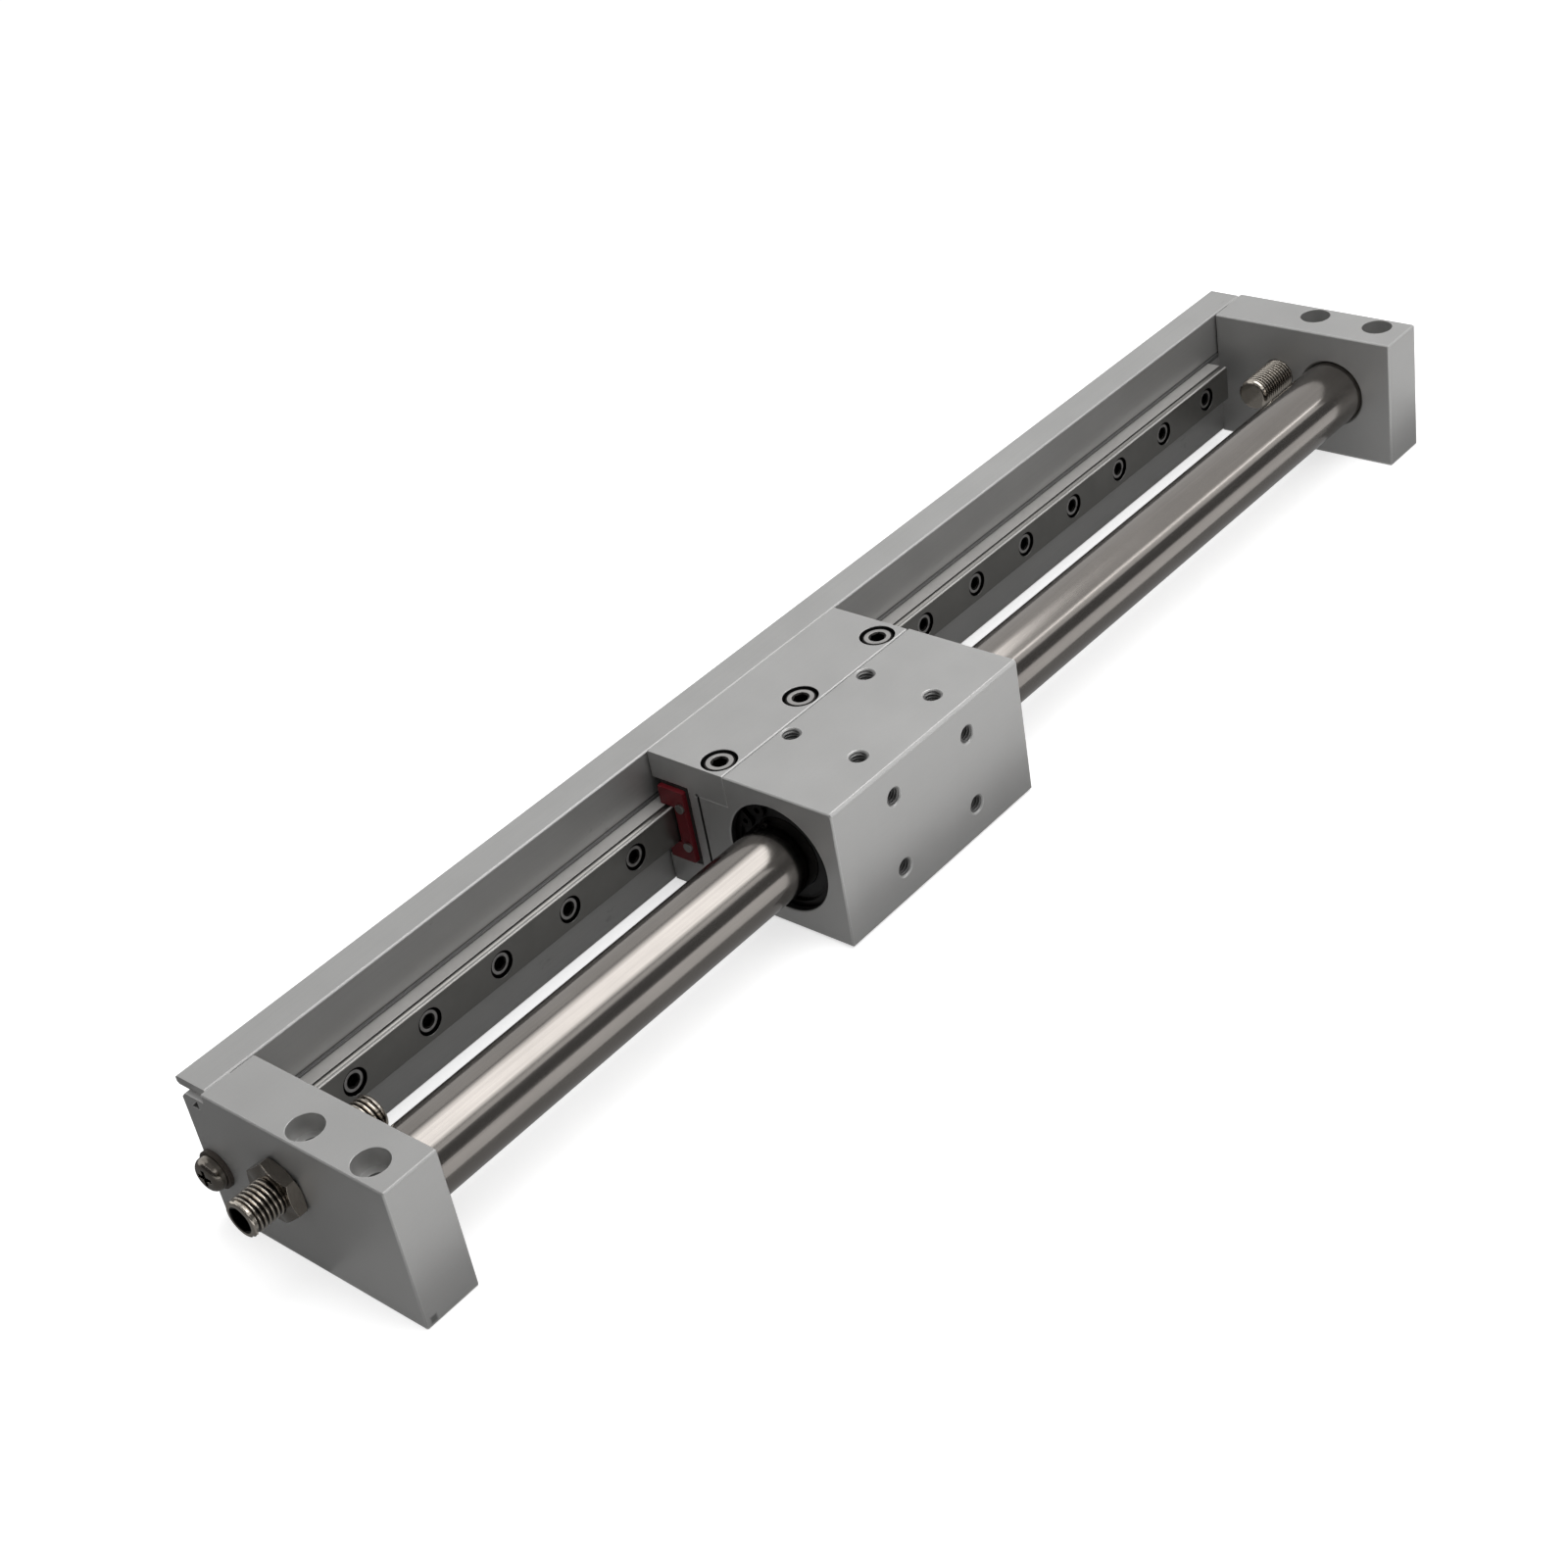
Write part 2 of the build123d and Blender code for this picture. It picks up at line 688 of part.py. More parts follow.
with BuildPart() as slider_block:
    with BuildSketch(across(slider_left)):
        with Locations((-slider_front, slider_bottom)):
            Rectangle(slider_front + block_seam_y, slider_top - slider_bottom, align=Align.MIN)
    extrude(amount=slider_length)
    long_edges = slider_block.edges().filter_by(Axis.X)
    top_front_edge = long_edges.group_by(Axis.Z)[-1].sort_by(Axis.Y)[0]
    chamfer(top_front_edge, slider_front_break)
    low_edges = slider_block.edges().filter_by(Axis.X).group_by(Axis.Z)[0]
    end_edges = slider_block.faces().filter_by(Axis.X).edges()
    chamfer(low_edges + end_edges, edge_break)
    # Ledge under the bracket's flange
    with BuildSketch(across(slider_left)):
        with Locations((top_seam_y, ledge_height)):
            Rectangle(slider_length, bracket_flange, align=Align.MIN)
    extrude(amount=slider_length, mode=Mode.SUBTRACT)
    seam_edge = slider_block.edges().filter_by(Axis.X).group_by(Axis.Z)[-1].sort_by(Axis.Y)[-1]
    chamfer(seam_edge, edge_break)
    # Bore for the magnets, with a groove at each end for a snap ring
    with BuildSketch(across(slider_left)):
        with Locations((0, axis_height)):
            Circle(slider_bore / 2)
    extrude(amount=slider_length, mode=Mode.SUBTRACT)
    mouths = slider_block.edges().filter_by(GeomType.CIRCLE).sort_by(Axis.X)
    chamfer([mouths[0], mouths[-1]], edge_break)
    groove_width = snap_ring + ring_play
    for groove_x in (slider_left + bore_lip, slider_right - bore_lip - groove_width):
        with BuildSketch(across(groove_x)):
            with Locations((0, axis_height)):
                Circle(snap_ring_outer / 2 + ring_play)
        extrude(amount=groove_width, mode=Mode.SUBTRACT)
    # Tapped holes on top and in front for the load
    with Locations(Plane.XY.offset(slider_top)):
        with Locations((slider_rest, 0)):
            with GridLocations(slider_hole_spacing, 2 * slider_hole_offset, 2, 2):
                CounterSinkHole(
                    slider_thread / 2,
                    slider_thread / 2 + edge_break,
                    slider_thread_depth,
                    countersink_angle,
                )
    with Locations(facing_front(-slider_front)):
        with Locations((slider_rest, axis_height)):
            with GridLocations(slider_hole_spacing, 2 * slider_hole_offset, 2, 2):
                CounterSinkHole(
                    slider_thread / 2,
                    slider_thread / 2 + edge_break,
                    slider_thread_depth,
                    countersink_angle,
                )
    # Threads for the bracket's screws
    with Locations(Plane.XY.offset(ledge_height)):
        with Locations((bracket_screw_x, bracket_screw_y)):
            with GridLocations(bracket_screw_spacing, 1, 3, 1):
                Hole(large_thread / 2 + thread_gap, bracket_thread + ring_play)
keep(slider_block, "slider_block")

# Guide bracket, a C that wraps the carriages

channel_top = axis_height + carriage_width / 2 + running_gap
channel_bottom = axis_height - carriage_width / 2 - running_gap
carriage_length = (bracket_length + 2 * carriage_stand_out - carriage_gap) / 2
carriage_steel = carriage_length - 2 * carriage_cap - 2 * carriage_seal
carriage_offset = (carriage_length + carriage_gap) / 2
lower_flange_back = wall_front - bracket_wall_gap
upper_flange_back = upper_wall_front - bracket_top_gap

with BuildPart() as guide_bracket:
    with BuildSketch(across(slider_left)):
        with BuildLine():
            Polyline(
                (web_front, slider_bottom),
                (lower_flange_back, slider_bottom),
                (lower_flange_back, channel_bottom),
                (carriage_face, channel_bottom),
                (carriage_face, channel_top),
                (upper_flange_back, channel_top),
                (upper_flange_back, slider_top),
                (top_seam_y + seam, slider_top),
                (top_seam_y + seam, ledge_height),
                (web_front, ledge_height),
                close=True,
            )
        make_face()
    extrude(amount=bracket_length)
    top_edges = guide_bracket.edges().filter_by(Axis.X).group_by(Axis.Z)[-1]
    chamfer(top_edges, fine_break)
    with BuildSketch(across(slider_left)):
        with Locations((web_front, ledge_height)):
            Circle(corner_relief / 2)
    extrude(amount=bracket_length, mode=Mode.SUBTRACT)
    with Locations(Plane.XY.offset(slider_top)):
        with Locations((bracket_screw_x, bracket_screw_y)):
            with GridLocations(bracket_screw_spacing, 1, 3, 1):
                CounterBoreHole(
                    large_thread / 2 + head_play / 2,
                    bracket_counterbore / 2,
                    bracket_screw_depth,
                    bracket_flange,
                )
    for middle in (bracket_middle - carriage_offset, bracket_middle + carriage_offset):
        with Locations(facing_front(web_front)):
            with Locations((middle, axis_height)):
                with GridLocations(carriage_hole_pitch, carriage_hole_spacing, 2, 2):
                    CounterSinkHole(
                        small_thread / 2 + thread_gap,
                        countersink / 2 + running_gap,
                        bracket_web,
                        countersink_angle,
                    )
keep(guide_bracket, "guide_bracket")

bracket_screw = cap_screw(
    large_thread,
    large_head,
    large_head_height,
    large_socket,
    large_socket_depth,
    bracket_screw_length,
)

with BuildPart() as bracket_screws:
    with Locations(Plane.XY.offset(slider_top - bracket_screw_depth)):
        with Locations((bracket_screw_x, bracket_screw_y)):
            with GridLocations(bracket_screw_spacing, 1, 3, 1):
                add(bracket_screw)
keep(bracket_screws, "bracket_screws")

# Carriages on the rail


def carriage_slice(start, end, width, face, side_gap):
    """Length of a carriage: a block with a channel for the rail, open at the back."""
    with BuildPart() as piece:
        with BuildSketch(across(start)):
            with Locations((face, axis_height)):
                Rectangle(carriage_back - face, width, align=(Align.MIN, Align.CENTER))
            with Locations((carriage_face + carriage_web, axis_height)):
                Rectangle(
                    carriage_height,
                    rail_width + 2 * side_gap,
                    align=(Align.MIN, Align.CENTER),
                    mode=Mode.SUBTRACT,
                )
        extrude(amount=end - start)
        front_edges = piece.edges().filter_by(Axis.X).group_by(Axis.Y)[0]
        chamfer(front_edges, edge_break)
    return piece.part


carriage_thread_depth = carriage_web - ring_play
seal_screw_y = carriage_face + seal_screw_inset
cap_face = carriage_face + cap_inset
cap_width = carriage_width - 2 * cap_inset
seal_face = carriage_face + seal_inset
seal_width = carriage_width - 2 * seal_inset
seal_bites = []

for side, sign in (("left", -1), ("right", 1)):
    middle = bracket_middle + sign * carriage_offset
    steel_end = carriage_steel / 2
    cap_end = steel_end + carriage_cap
    seal_end = cap_end + carriage_seal
    with BuildPart() as carriage_block:
        near, far = middle - steel_end, middle + steel_end
        add(carriage_slice(near, far, carriage_width, carriage_face, carriage_side_gap))
        with BuildSketch(across(middle - steel_end)):
            with Locations((rail_groove, axis_height)):
                with GridLocations(1, rail_width, 1, 2):
                    Circle(ball / 2 + running_gap)
        extrude(amount=carriage_steel, mode=Mode.SUBTRACT)
        with Locations(facing_front(carriage_face)):
            with Locations((middle, axis_height)):
                with GridLocations(carriage_hole_pitch, carriage_hole_spacing, 2, 2):
                    Hole(small_thread / 2 + thread_gap, carriage_thread_depth)
    keep(carriage_block, f"{side}_carriage_block")

    with BuildPart() as carriage_caps:
        for end in (-1, 1):
            near, far = sorted((middle + end * steel_end, middle + end * cap_end))
            add(carriage_slice(near, far, cap_width, cap_face, 2 * carriage_side_gap))
    keep(carriage_caps, f"{side}_carriage_caps")

    with BuildPart() as carriage_seals:
        for end in (-1, 1):
            near, far = sorted((middle + end * cap_end, middle + end * seal_end))
            add(carriage_slice(near, far, seal_width, seal_face, carriage_side_gap))
            seal_bites.append((middle + end * seal_end, end))
    keep(carriage_seals, f"{side}_carriage_seals")

    with BuildPart() as carriage_balls:
        loaded = int((carriage_steel - ball) // ball_pitch) + 1
        with Locations((middle, rail_groove, axis_height)):
            with GridLocations(ball_pitch, 1, loaded, 1):
                with Locations((0, 0, -rail_width / 2), (0, 0, rail_width / 2)):
                    Sphere(ball / 2)
    keep(carriage_balls, f"{side}_carriage_balls")

with BuildPart() as seal_screws:
    for seal_x, end in seal_bites:
        plane = across(seal_x) if end > 0 else facing_left(seal_x)
        with BuildSketch(plane):
            with Locations((end * seal_screw_y, axis_height)):
                with GridLocations(1, seal_screw_spacing, 1, 2):
                    Circle(seal_screw_head / 2)
        extrude(amount=seal_screw_height)
keep(seal_screws, "seal_screws")

with BuildPart() as carriage_screws:
    for middle in (bracket_middle - carriage_offset, bracket_middle + carriage_offset):
        with Locations(facing_front(web_front + running_gap)):
            with Locations((middle, axis_height)):
                with GridLocations(carriage_hole_pitch, carriage_hole_spacing, 2, 2):
                    add(countersunk_screw(small_thread, countersink, carriage_screw_length))
keep(carriage_screws, "carriage_screws")

# Magnets and yokes round the tube, and their opposites on the piston

yoke_count = magnet_count + 1
stack_length = magnet_count * magnet_length + yoke_count * yoke_length
stack_left = slider_rest - stack_length / 2
stack_pitch = magnet_length + yoke_length
yoke_starts = [stack_left + n * stack_pitch for n in range(yoke_count)]
magnet_starts = [start + yoke_length for start in yoke_starts[:-1]]
slider_yoke_bore = tube_outer + 2 * yoke_gap
slider_magnet_bore = slider_yoke_bore + 2 * magnet_set_back
slider_ring_outer = slider_bore - 2 * running_gap
piston_yoke_outer = tube_bore - 2 * piston_yoke_gap
piston_magnet_outer = piston_yoke_outer - 2 * magnet_set_back

with BuildPart() as slider_yokes:
    for start in yoke_starts:
        add(ring(slider_ring_outer, slider_yoke_bore, start, start + yoke_length))
keep(slider_yokes, "slider_yokes")

with BuildPart() as slider_magnets:
    for start in magnet_starts:
        add(ring(slider_ring_outer, slider_magnet_bore, start, start + magnet_length))
keep(slider_magnets, "slider_magnets")

with BuildPart() as piston_yokes:
    for start in yoke_starts:
        add(ring(piston_yoke_outer, shaft + 2 * thread_gap, start, start + yoke_length))
keep(piston_yokes, "piston_yokes")

with BuildPart() as piston_magnets:
    for start in magnet_starts:
        add(ring(piston_magnet_outer, shaft + 2 * thread_gap, start, start + magnet_length))
keep(piston_magnets, "piston_magnets")

# Rings at both ends of the slider's bore

holder_length = (slider_length - stack_length) / 2 - bore_lip - groove_width
bearing_outer = slider_ring_outer - 2 * holder_wall
bearing_length = holder_length - scraper_length - bearing_gap
for side, sign in (("left", -1), ("right", 1)):
    inner_x = slider_rest + sign * stack_length / 2
    outer_x = inner_x + sign * holder_length
    ring_x = outer_x if sign > 0 else outer_x - snap_ring
    scraper_x = outer_x - sign * scraper_length
    bearing_x = inner_x + sign * bearing_length

    with BuildPart() as end_holder:
        add(ring(slider_ring_outer, bearing_outer, *sorted((inner_x, outer_x))))
        add(disc(scraper_outer, *sorted((scraper_x, outer_x))), mode=Mode.SUBTRACT)
    keep(end_holder, f"{side}_end_holder")

    with BuildPart() as slider_bearing:
        add(ring(bearing_outer, tube_outer + 2 * running_gap, *sorted((inner_x, bearing_x))))
    keep(slider_bearing, f"{side}_slider_bearing")

    with BuildPart() as scraper:
        add(ring(scraper_outer, tube_outer + 2 * seal_gap, *sorted((scraper_x, outer_x))))
    keep(scraper, f"{side}_scraper")

    with BuildPart() as snap:
        with BuildSketch(across(ring_x)):
            with Locations((0, axis_height)):
                Circle(snap_ring_outer / 2)
                Circle(snap_ring_inner / 2, mode=Mode.SUBTRACT)
                lugs = PolarLocations(
                    snap_lug_radius,
                    2,
                    start_angle=snap_gap_angle - snap_lug_spread,
                    angular_range=2 * snap_lug_spread,
                    endpoint=True,
                )
                with lugs:
                    Circle(snap_lug / 2)
                with lugs:
                    Circle(snap_lug_hole / 2, mode=Mode.SUBTRACT)
                with PolarLocations(snap_ring_outer / 2, 1, start_angle=snap_gap_angle):
                    Rectangle(snap_ring_outer / 2, snap_gap, mode=Mode.SUBTRACT)
        extrude(amount=snap_ring)
    keep(snap, f"{side}_snap_ring")

# Piston

piston_half = stack_length / 2 + head_length
nut_pocket = shaft_nut_thickness + ring_play
shaft_half = piston_half - ring_play

with BuildPart() as piston_shaft:
    add(disc(shaft, slider_rest - shaft_half, slider_rest + shaft_half))
keep(piston_shaft, "piston_shaft")

with BuildPart() as shaft_nuts:
    for sign in (-1, 1):
        nut_start = slider_rest + sign * (piston_half - nut_pocket)
        with BuildSketch(across(nut_start)):
            with Locations((0, axis_height)):
                RegularPolygon(shaft_nut_width / 2, 6, major_radius=False)
                Circle(shaft / 2 + thread_gap, mode=Mode.SUBTRACT)
        extrude(amount=sign * shaft_nut_thickness)
keep(shaft_nuts, "shaft_nuts")

for side, sign in (("left", -1), ("right", 1)):
    root_x = slider_rest + sign * stack_length / 2
    end_x = root_x + sign * head_length
    seal_root = end_x - sign * (piston_seal_land + piston_seal_length)
    bearing_root = root_x + sign * piston_bearing_land
    pocket_width = bumper_bore + ring_play

    with BuildPart() as piston_head:
        add(ring(tube_bore - 2 * head_gap, shaft + 2 * thread_gap, *sorted((root_x, end_x))))
        add(disc(pocket_width, *sorted((end_x - sign * nut_pocket, end_x))), mode=Mode.SUBTRACT)
        seal_ends = sorted((seal_root, seal_root + sign * piston_seal_length))
        add(ring(tube_bore, piston_seal_bore, *seal_ends), mode=Mode.SUBTRACT)
        bearing_ends = sorted((bearing_root, bearing_root + sign * piston_bearing_length))
        add(ring(tube_bore, piston_bearing_bore, *bearing_ends), mode=Mode.SUBTRACT)
    keep(piston_head, f"{side}_piston_head")

    with BuildPart() as piston_seal:
        add(ring(tube_bore - 2 * seal_gap, piston_seal_bore, *seal_ends))
    keep(piston_seal, f"{side}_piston_seal")

    with BuildPart() as piston_bearing:
        add(ring(tube_bore - 2 * running_gap, piston_bearing_bore, *bearing_ends))
    keep(piston_bearing, f"{side}_piston_bearing")

    with BuildPart() as bumper:
        add(ring(bumper_outer, bumper_bore, *sorted((end_x, end_x + sign * bumper_length))))
    keep(bumper, f"{side}_bumper")
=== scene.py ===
import json
import math
import bmesh
import bpy
from mathutils import Matrix, Quaternion, Vector


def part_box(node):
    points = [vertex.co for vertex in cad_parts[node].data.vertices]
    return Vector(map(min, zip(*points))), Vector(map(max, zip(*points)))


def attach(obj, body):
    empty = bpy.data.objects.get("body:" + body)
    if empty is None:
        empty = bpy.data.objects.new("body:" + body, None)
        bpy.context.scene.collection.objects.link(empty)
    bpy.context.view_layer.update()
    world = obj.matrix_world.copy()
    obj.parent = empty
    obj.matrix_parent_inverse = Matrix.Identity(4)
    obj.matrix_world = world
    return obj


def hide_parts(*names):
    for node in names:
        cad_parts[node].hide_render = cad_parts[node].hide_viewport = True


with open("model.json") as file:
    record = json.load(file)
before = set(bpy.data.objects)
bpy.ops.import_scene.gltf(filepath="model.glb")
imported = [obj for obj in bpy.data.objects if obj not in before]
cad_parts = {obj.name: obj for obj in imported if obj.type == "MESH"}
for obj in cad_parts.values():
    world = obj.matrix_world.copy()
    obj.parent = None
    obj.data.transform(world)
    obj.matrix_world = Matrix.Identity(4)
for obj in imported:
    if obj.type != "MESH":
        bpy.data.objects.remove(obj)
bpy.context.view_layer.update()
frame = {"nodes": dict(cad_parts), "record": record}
scene = bpy.context.scene
mm = 0.001
stroke = Vector((1, 0, 0))          # everything slides along this axis
endless = 1.0                       # metres, past the end of any piece


def boxMiddle(node):
    low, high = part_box(node)
    return (low + high) / 2


def combine(tree, operation, first, second):
    node = tree.nodes.new("ShaderNodeMath")
    node.operation = operation
    for socket, value in zip(node.inputs, (first, second)):
        if isinstance(value, (int, float)):
            socket.default_value = value
        else:
            tree.links.new(value, socket)
    return node.outputs[0]


def remap(tree, value, low, high, toLow, toHigh):
    node = tree.nodes.new("ShaderNodeMapRange")
    for slot, number in zip(("From Min", "From Max", "To Min", "To Max"), (low, high, toLow, toHigh)):
        node.inputs[slot].default_value = number
    tree.links.new(value, node.inputs["Value"])
    return node.outputs["Result"]


def axesOf(tree):
    # the piece's own X, Y and Z in metres
    coords = tree.nodes.new("ShaderNodeTexCoord")
    parts = tree.nodes.new("ShaderNodeSeparateXYZ")
    tree.links.new(coords.outputs["Object"], parts.inputs[0])
    return parts.outputs


def distance(tree, value, centre):
    return combine(tree, "ABSOLUTE", combine(tree, "SUBTRACT", value, centre), 0)


# Camera and light

cameraSettings = {
    "place": (-0.34898, -0.31048, 0.32522),
    "turn": 43.873,                 # degrees from +Y towards +X
    "down": 34.187,
    "roll": -10.894,
    "lens": 58.955,
    "sensor": 36.0,
}


def addCamera(s):
    camera = bpy.data.objects.new("camera", bpy.data.cameras.new("camera"))
    scene.collection.objects.link(camera)
    turn = math.radians(s["turn"])
    down = math.radians(s["down"])
    look = Vector((math.sin(turn) * math.cos(down), math.cos(turn) * math.cos(down), -math.sin(down)))
    roll = Quaternion((0, 0, 1), math.radians(s["roll"]))
    camera.rotation_mode = "QUATERNION"
    camera.rotation_quaternion = look.to_track_quat("-Z", "Y") @ roll
    camera.location = s["place"]
    camera.data.lens = s["lens"]
    camera.data.sensor_width = s["sensor"]
    camera.data.clip_start = 0.01
    scene.camera = camera


lampSettings = {
    # place, size along and across, watts; polished metal sees the cards instead
    "overhead": ((0.02, -0.16, 0.52), (0.38, 0.65), 1.85),
    "fill": ((0.02, 0.32, 0.90), (0.8, 0.8), 1.5),
    "front": ((0.05, -0.95, 0.55), (0.9, 0.5), 1.2),
}


def addLamps(lamps):
    for name, (place, size, watts) in lamps.items():
        lamp = bpy.data.lights.new(name, "AREA")
        lamp.shape = "RECTANGLE"
        lamp.size, lamp.size_y = size
        lamp.energy = watts
        lampObject = bpy.data.objects.new(name, lamp)
        scene.collection.objects.link(lampObject)
        lampObject.location = place
        lampObject.visible_glossy = False
        if name != "overhead":
            lampObject.rotation_euler = (-Vector(place)).to_track_quat("-Z", "Y").to_euler()


# Cards round the table that only polished metal shows, fading towards their long edges
cardSettings = {
    # middle, size along and across, lean and turn in degrees, radiance, faded share
    "brightAbove": ((0.23, -0.125, 0.52), (0.46, 0.76), 0, 0, 2.9, 0.5),
    "greyBack": ((0.95, 0.95, 0.53), (2.5, 1.5), 0, 0, 0.75, 0.0),
    "greyRight": ((1.33, -0.08, 0.53), (1.74, 0.56), 0, 0, 0.70, 0.0),
    "lightLine": ((1.33, -0.44, 0.53), (1.7, 0.07), 0, 0, 3.6, 0.0),
    "darkFront": ((0.5, -1.30, 0.42), (5.0, 0.84), 90, 0, 0.14, 0.0),
    "darkAbove": ((-0.36, -0.05, 0.60), (0.78, 0.9), 0, 0, 0.22, 0.0),
    "darkLeft": ((-0.90, 0.00, 0.30), (2.0, 0.7), 90, 90, 0.07, 0.0),
    "darkFloor": ((-0.35, 0.41, 0.0005), (1.1, 0.80), 0, 0, 0.17, 0.0),
    "greyFloor": ((-0.35, -0.01, 0.0005), (1.1, 0.04), 0, 0, 0.30, 0.0),
}


def stageSheet(name, bm, material, hiddenFrom=()):
    # a flat sheet of the studio, hidden from the kinds of ray named
    mesh = bpy.data.meshes.new(name)
    bm.to_mesh(mesh)
    bm.free()
    mesh.materials.append(material)
    sheet = bpy.data.objects.new(name, mesh)
    scene.collection.objects.link(sheet)
    for ray in hiddenFrom:
        setattr(sheet, f"visible_{ray}", False)


def glowing(name, radiance, middle, reach, fade):
    # even light, or light that fades to nothing over the outer share of the card's reach
    material = bpy.data.materials.new(name)
    material.use_nodes = True
    tree = material.node_tree
    tree.nodes.clear()
    glow = tree.nodes.new("ShaderNodeEmission")
    glow.inputs["Strength"].default_value = radiance
    if fade:
        away = distance(tree, axesOf(tree)["Y"], middle)
        lit = remap(tree, away, reach * (1 - fade), reach, radiance, 0.0)
        tree.links.new(lit, glow.inputs["Strength"])
    out = tree.nodes.new("ShaderNodeOutputMaterial")
    tree.links.new(glow.outputs[0], out.inputs["Surface"])
    return material


def addCards(cards):
    for name, (middle, size, lean, turn, radiance, fade) in cards.items():
        leaned = Matrix.Rotation(math.radians(lean), 3, "X")
        turned = Matrix.Rotation(math.radians(turn), 3, "Z")
        bm = bmesh.new()
        bmesh.ops.create_grid(bm, x_segments=1, y_segments=1, size=0.5)
        bmesh.ops.scale(bm, verts=bm.verts, vec=(*size, 1))
        bmesh.ops.rotate(bm, verts=bm.verts, matrix=turned @ leaned)
        bmesh.ops.translate(bm, verts=bm.verts, vec=middle)
        reach = math.cos(math.radians(lean)) * size[1] / 2
        material = glowing(name, radiance, middle[1], reach, fade)
        stageSheet(name, bm, material, ("camera", "diffuse", "shadow", "transmission"))


backgroundSettings = {
    "seen": 1.0,                    # white, for camera, mirror and glass rays
    "ambient": 0.45,                # light that the room gives to matt surfaces
    "floorColour": (0.80, 0.80, 0.80),
    "floorLift": 0.60,              # takes the lit floor up to white for the camera
    "mirrorLift": 0.18,             # the same in polished metal
    "floorSize": 9.0,
}


def byRay(tree, camera, mirror, other):
    # a number that depends on whether the camera, polished metal or a matt surface looks
    path = tree.nodes.new("ShaderNodeLightPath")
    glossy = combine(tree, "MAXIMUM", path.outputs["Is Glossy Ray"], path.outputs["Is Transmission Ray"])
    seen = combine(tree, "MULTIPLY", path.outputs["Is Camera Ray"], camera - other)
    mirrored = combine(tree, "MULTIPLY", glossy, mirror - other)
    return combine(tree, "ADD", combine(tree, "ADD", seen, mirrored), other)


def addBackground(s):
    world = bpy.data.worlds.new("studio")
    world.use_nodes = True
    tree = world.node_tree
    room = tree.nodes["Background"]
    room.inputs["Color"].default_value = (1, 1, 1, 1)
    tree.links.new(byRay(tree, s["seen"], s["seen"], s["ambient"]), room.inputs["Strength"])
    scene.world = world

    floorMaterial = bpy.data.materials.new("floor")
    floorMaterial.use_nodes = True
    tree = floorMaterial.node_tree
    tree.nodes.clear()
    matt = tree.nodes.new("ShaderNodeBsdfDiffuse")
    matt.inputs["Color"].default_value = (*s["floorColour"], 1)
    lift = tree.nodes.new("ShaderNodeEmission")
    tree.links.new(byRay(tree, s["floorLift"], s["mirrorLift"], 0.0), lift.inputs["Strength"])
    both = tree.nodes.new("ShaderNodeAddShader")
    out = tree.nodes.new("ShaderNodeOutputMaterial")
    tree.links.new(matt.outputs[0], both.inputs[0])
    tree.links.new(lift.outputs[0], both.inputs[1])
    tree.links.new(both.outputs[0], out.inputs["Surface"])

    bm = bmesh.new()
    bmesh.ops.create_grid(bm, x_segments=1, y_segments=1, size=s["floorSize"] / 2)
    stageSheet("floor", bm, floorMaterial)


scene.view_settings.view_transform = "Standard"
addCamera(cameraSettings)
addLamps(lampSettings)
addCards(cardSettings)
addBackground(backgroundSettings)
print("camera, light and floor are in place")


# Materials

def shaderOf(name):
    material = bpy.data.materials.new(name)
    material.use_nodes = True
    return material, material.node_tree, material.node_tree.nodes["Principled BSDF"]


def place(tree, scale=(1, 1, 1)):
    # the piece's own coordinates in metres, stretched by scale
    coords = tree.nodes.new("ShaderNodeTexCoord")
    mapping = tree.nodes.new("ShaderNodeMapping")
    mapping.inputs["Scale"].default_value = scale
    tree.links.new(coords.outputs["Object"], mapping.inputs["Vector"])
    return mapping.outputs["Vector"]


def noise(tree, vector, size, detail=3.0, roughness=0.55):
    # size is the width of a blotch in metres
    node = tree.nodes.new("ShaderNodeTexNoise")
    node.inputs["Scale"].default_value = 1 / size
    node.inputs["Detail"].default_value = detail
    node.inputs["Roughness"].default_value = roughness
    tree.links.new(vector, node.inputs["Vector"])
    return node.outputs["Fac"]


def spread(tree, value, toLow, toHigh):
    # noise keeps mostly between these two numbers
    return remap(tree, value, 0.3, 0.7, toLow, toHigh)


def mixColour(tree, factor, first, second):
    node = tree.nodes.new("ShaderNodeMix")
    node.data_type = "RGBA"
    for socket, value in ((node.inputs[0], factor), (node.inputs[6], first), (node.inputs[7], second)):
        if isinstance(value, (int, float)):
            socket.default_value = value
        elif isinstance(value, (tuple, list)):
            socket.default_value = (*value, 1)
        else:
            tree.links.new(value, socket)
    return node.outputs[2]


def zone(tree, middle, reach, soft=0.1 * mm):
    # 1 inside a box about middle that reaches so far each way, 0 outside
    parts = axesOf(tree)
    outside = None
    for axis, centre, half in zip("XYZ", middle, reach):
        beyond = combine(tree, "SUBTRACT", distance(tree, parts[axis], centre), half)
        outside = beyond if outside is None else combine(tree, "MAXIMUM", outside, beyond)
    return remap(tree, outside, 0, soft, 1, 0)


def roundZone(tree, middle, radius, reach, soft=0.05 * mm):
    # 1 inside a cylinder that reaches along the stroke from middle, 0 outside
    parts = axesOf(tree)
    across = combine(tree, "POWER", distance(tree, parts["Y"], middle.y), 2)
    up = combine(tree, "POWER", distance(tree, parts["Z"], middle.z), 2)
    away = combine(tree, "SQRT", combine(tree, "ADD", across, up), 0)
    inside = remap(tree, away, radius, radius + soft, 1, 0)
    along = remap(tree, distance(tree, parts["X"], middle.x), reach, reach + soft, 1, 0)
    return combine(tree, "MULTIPLY", inside, along)


def shade(colour, factor):
    return tuple(min(1.0, c * factor) for c in colour)


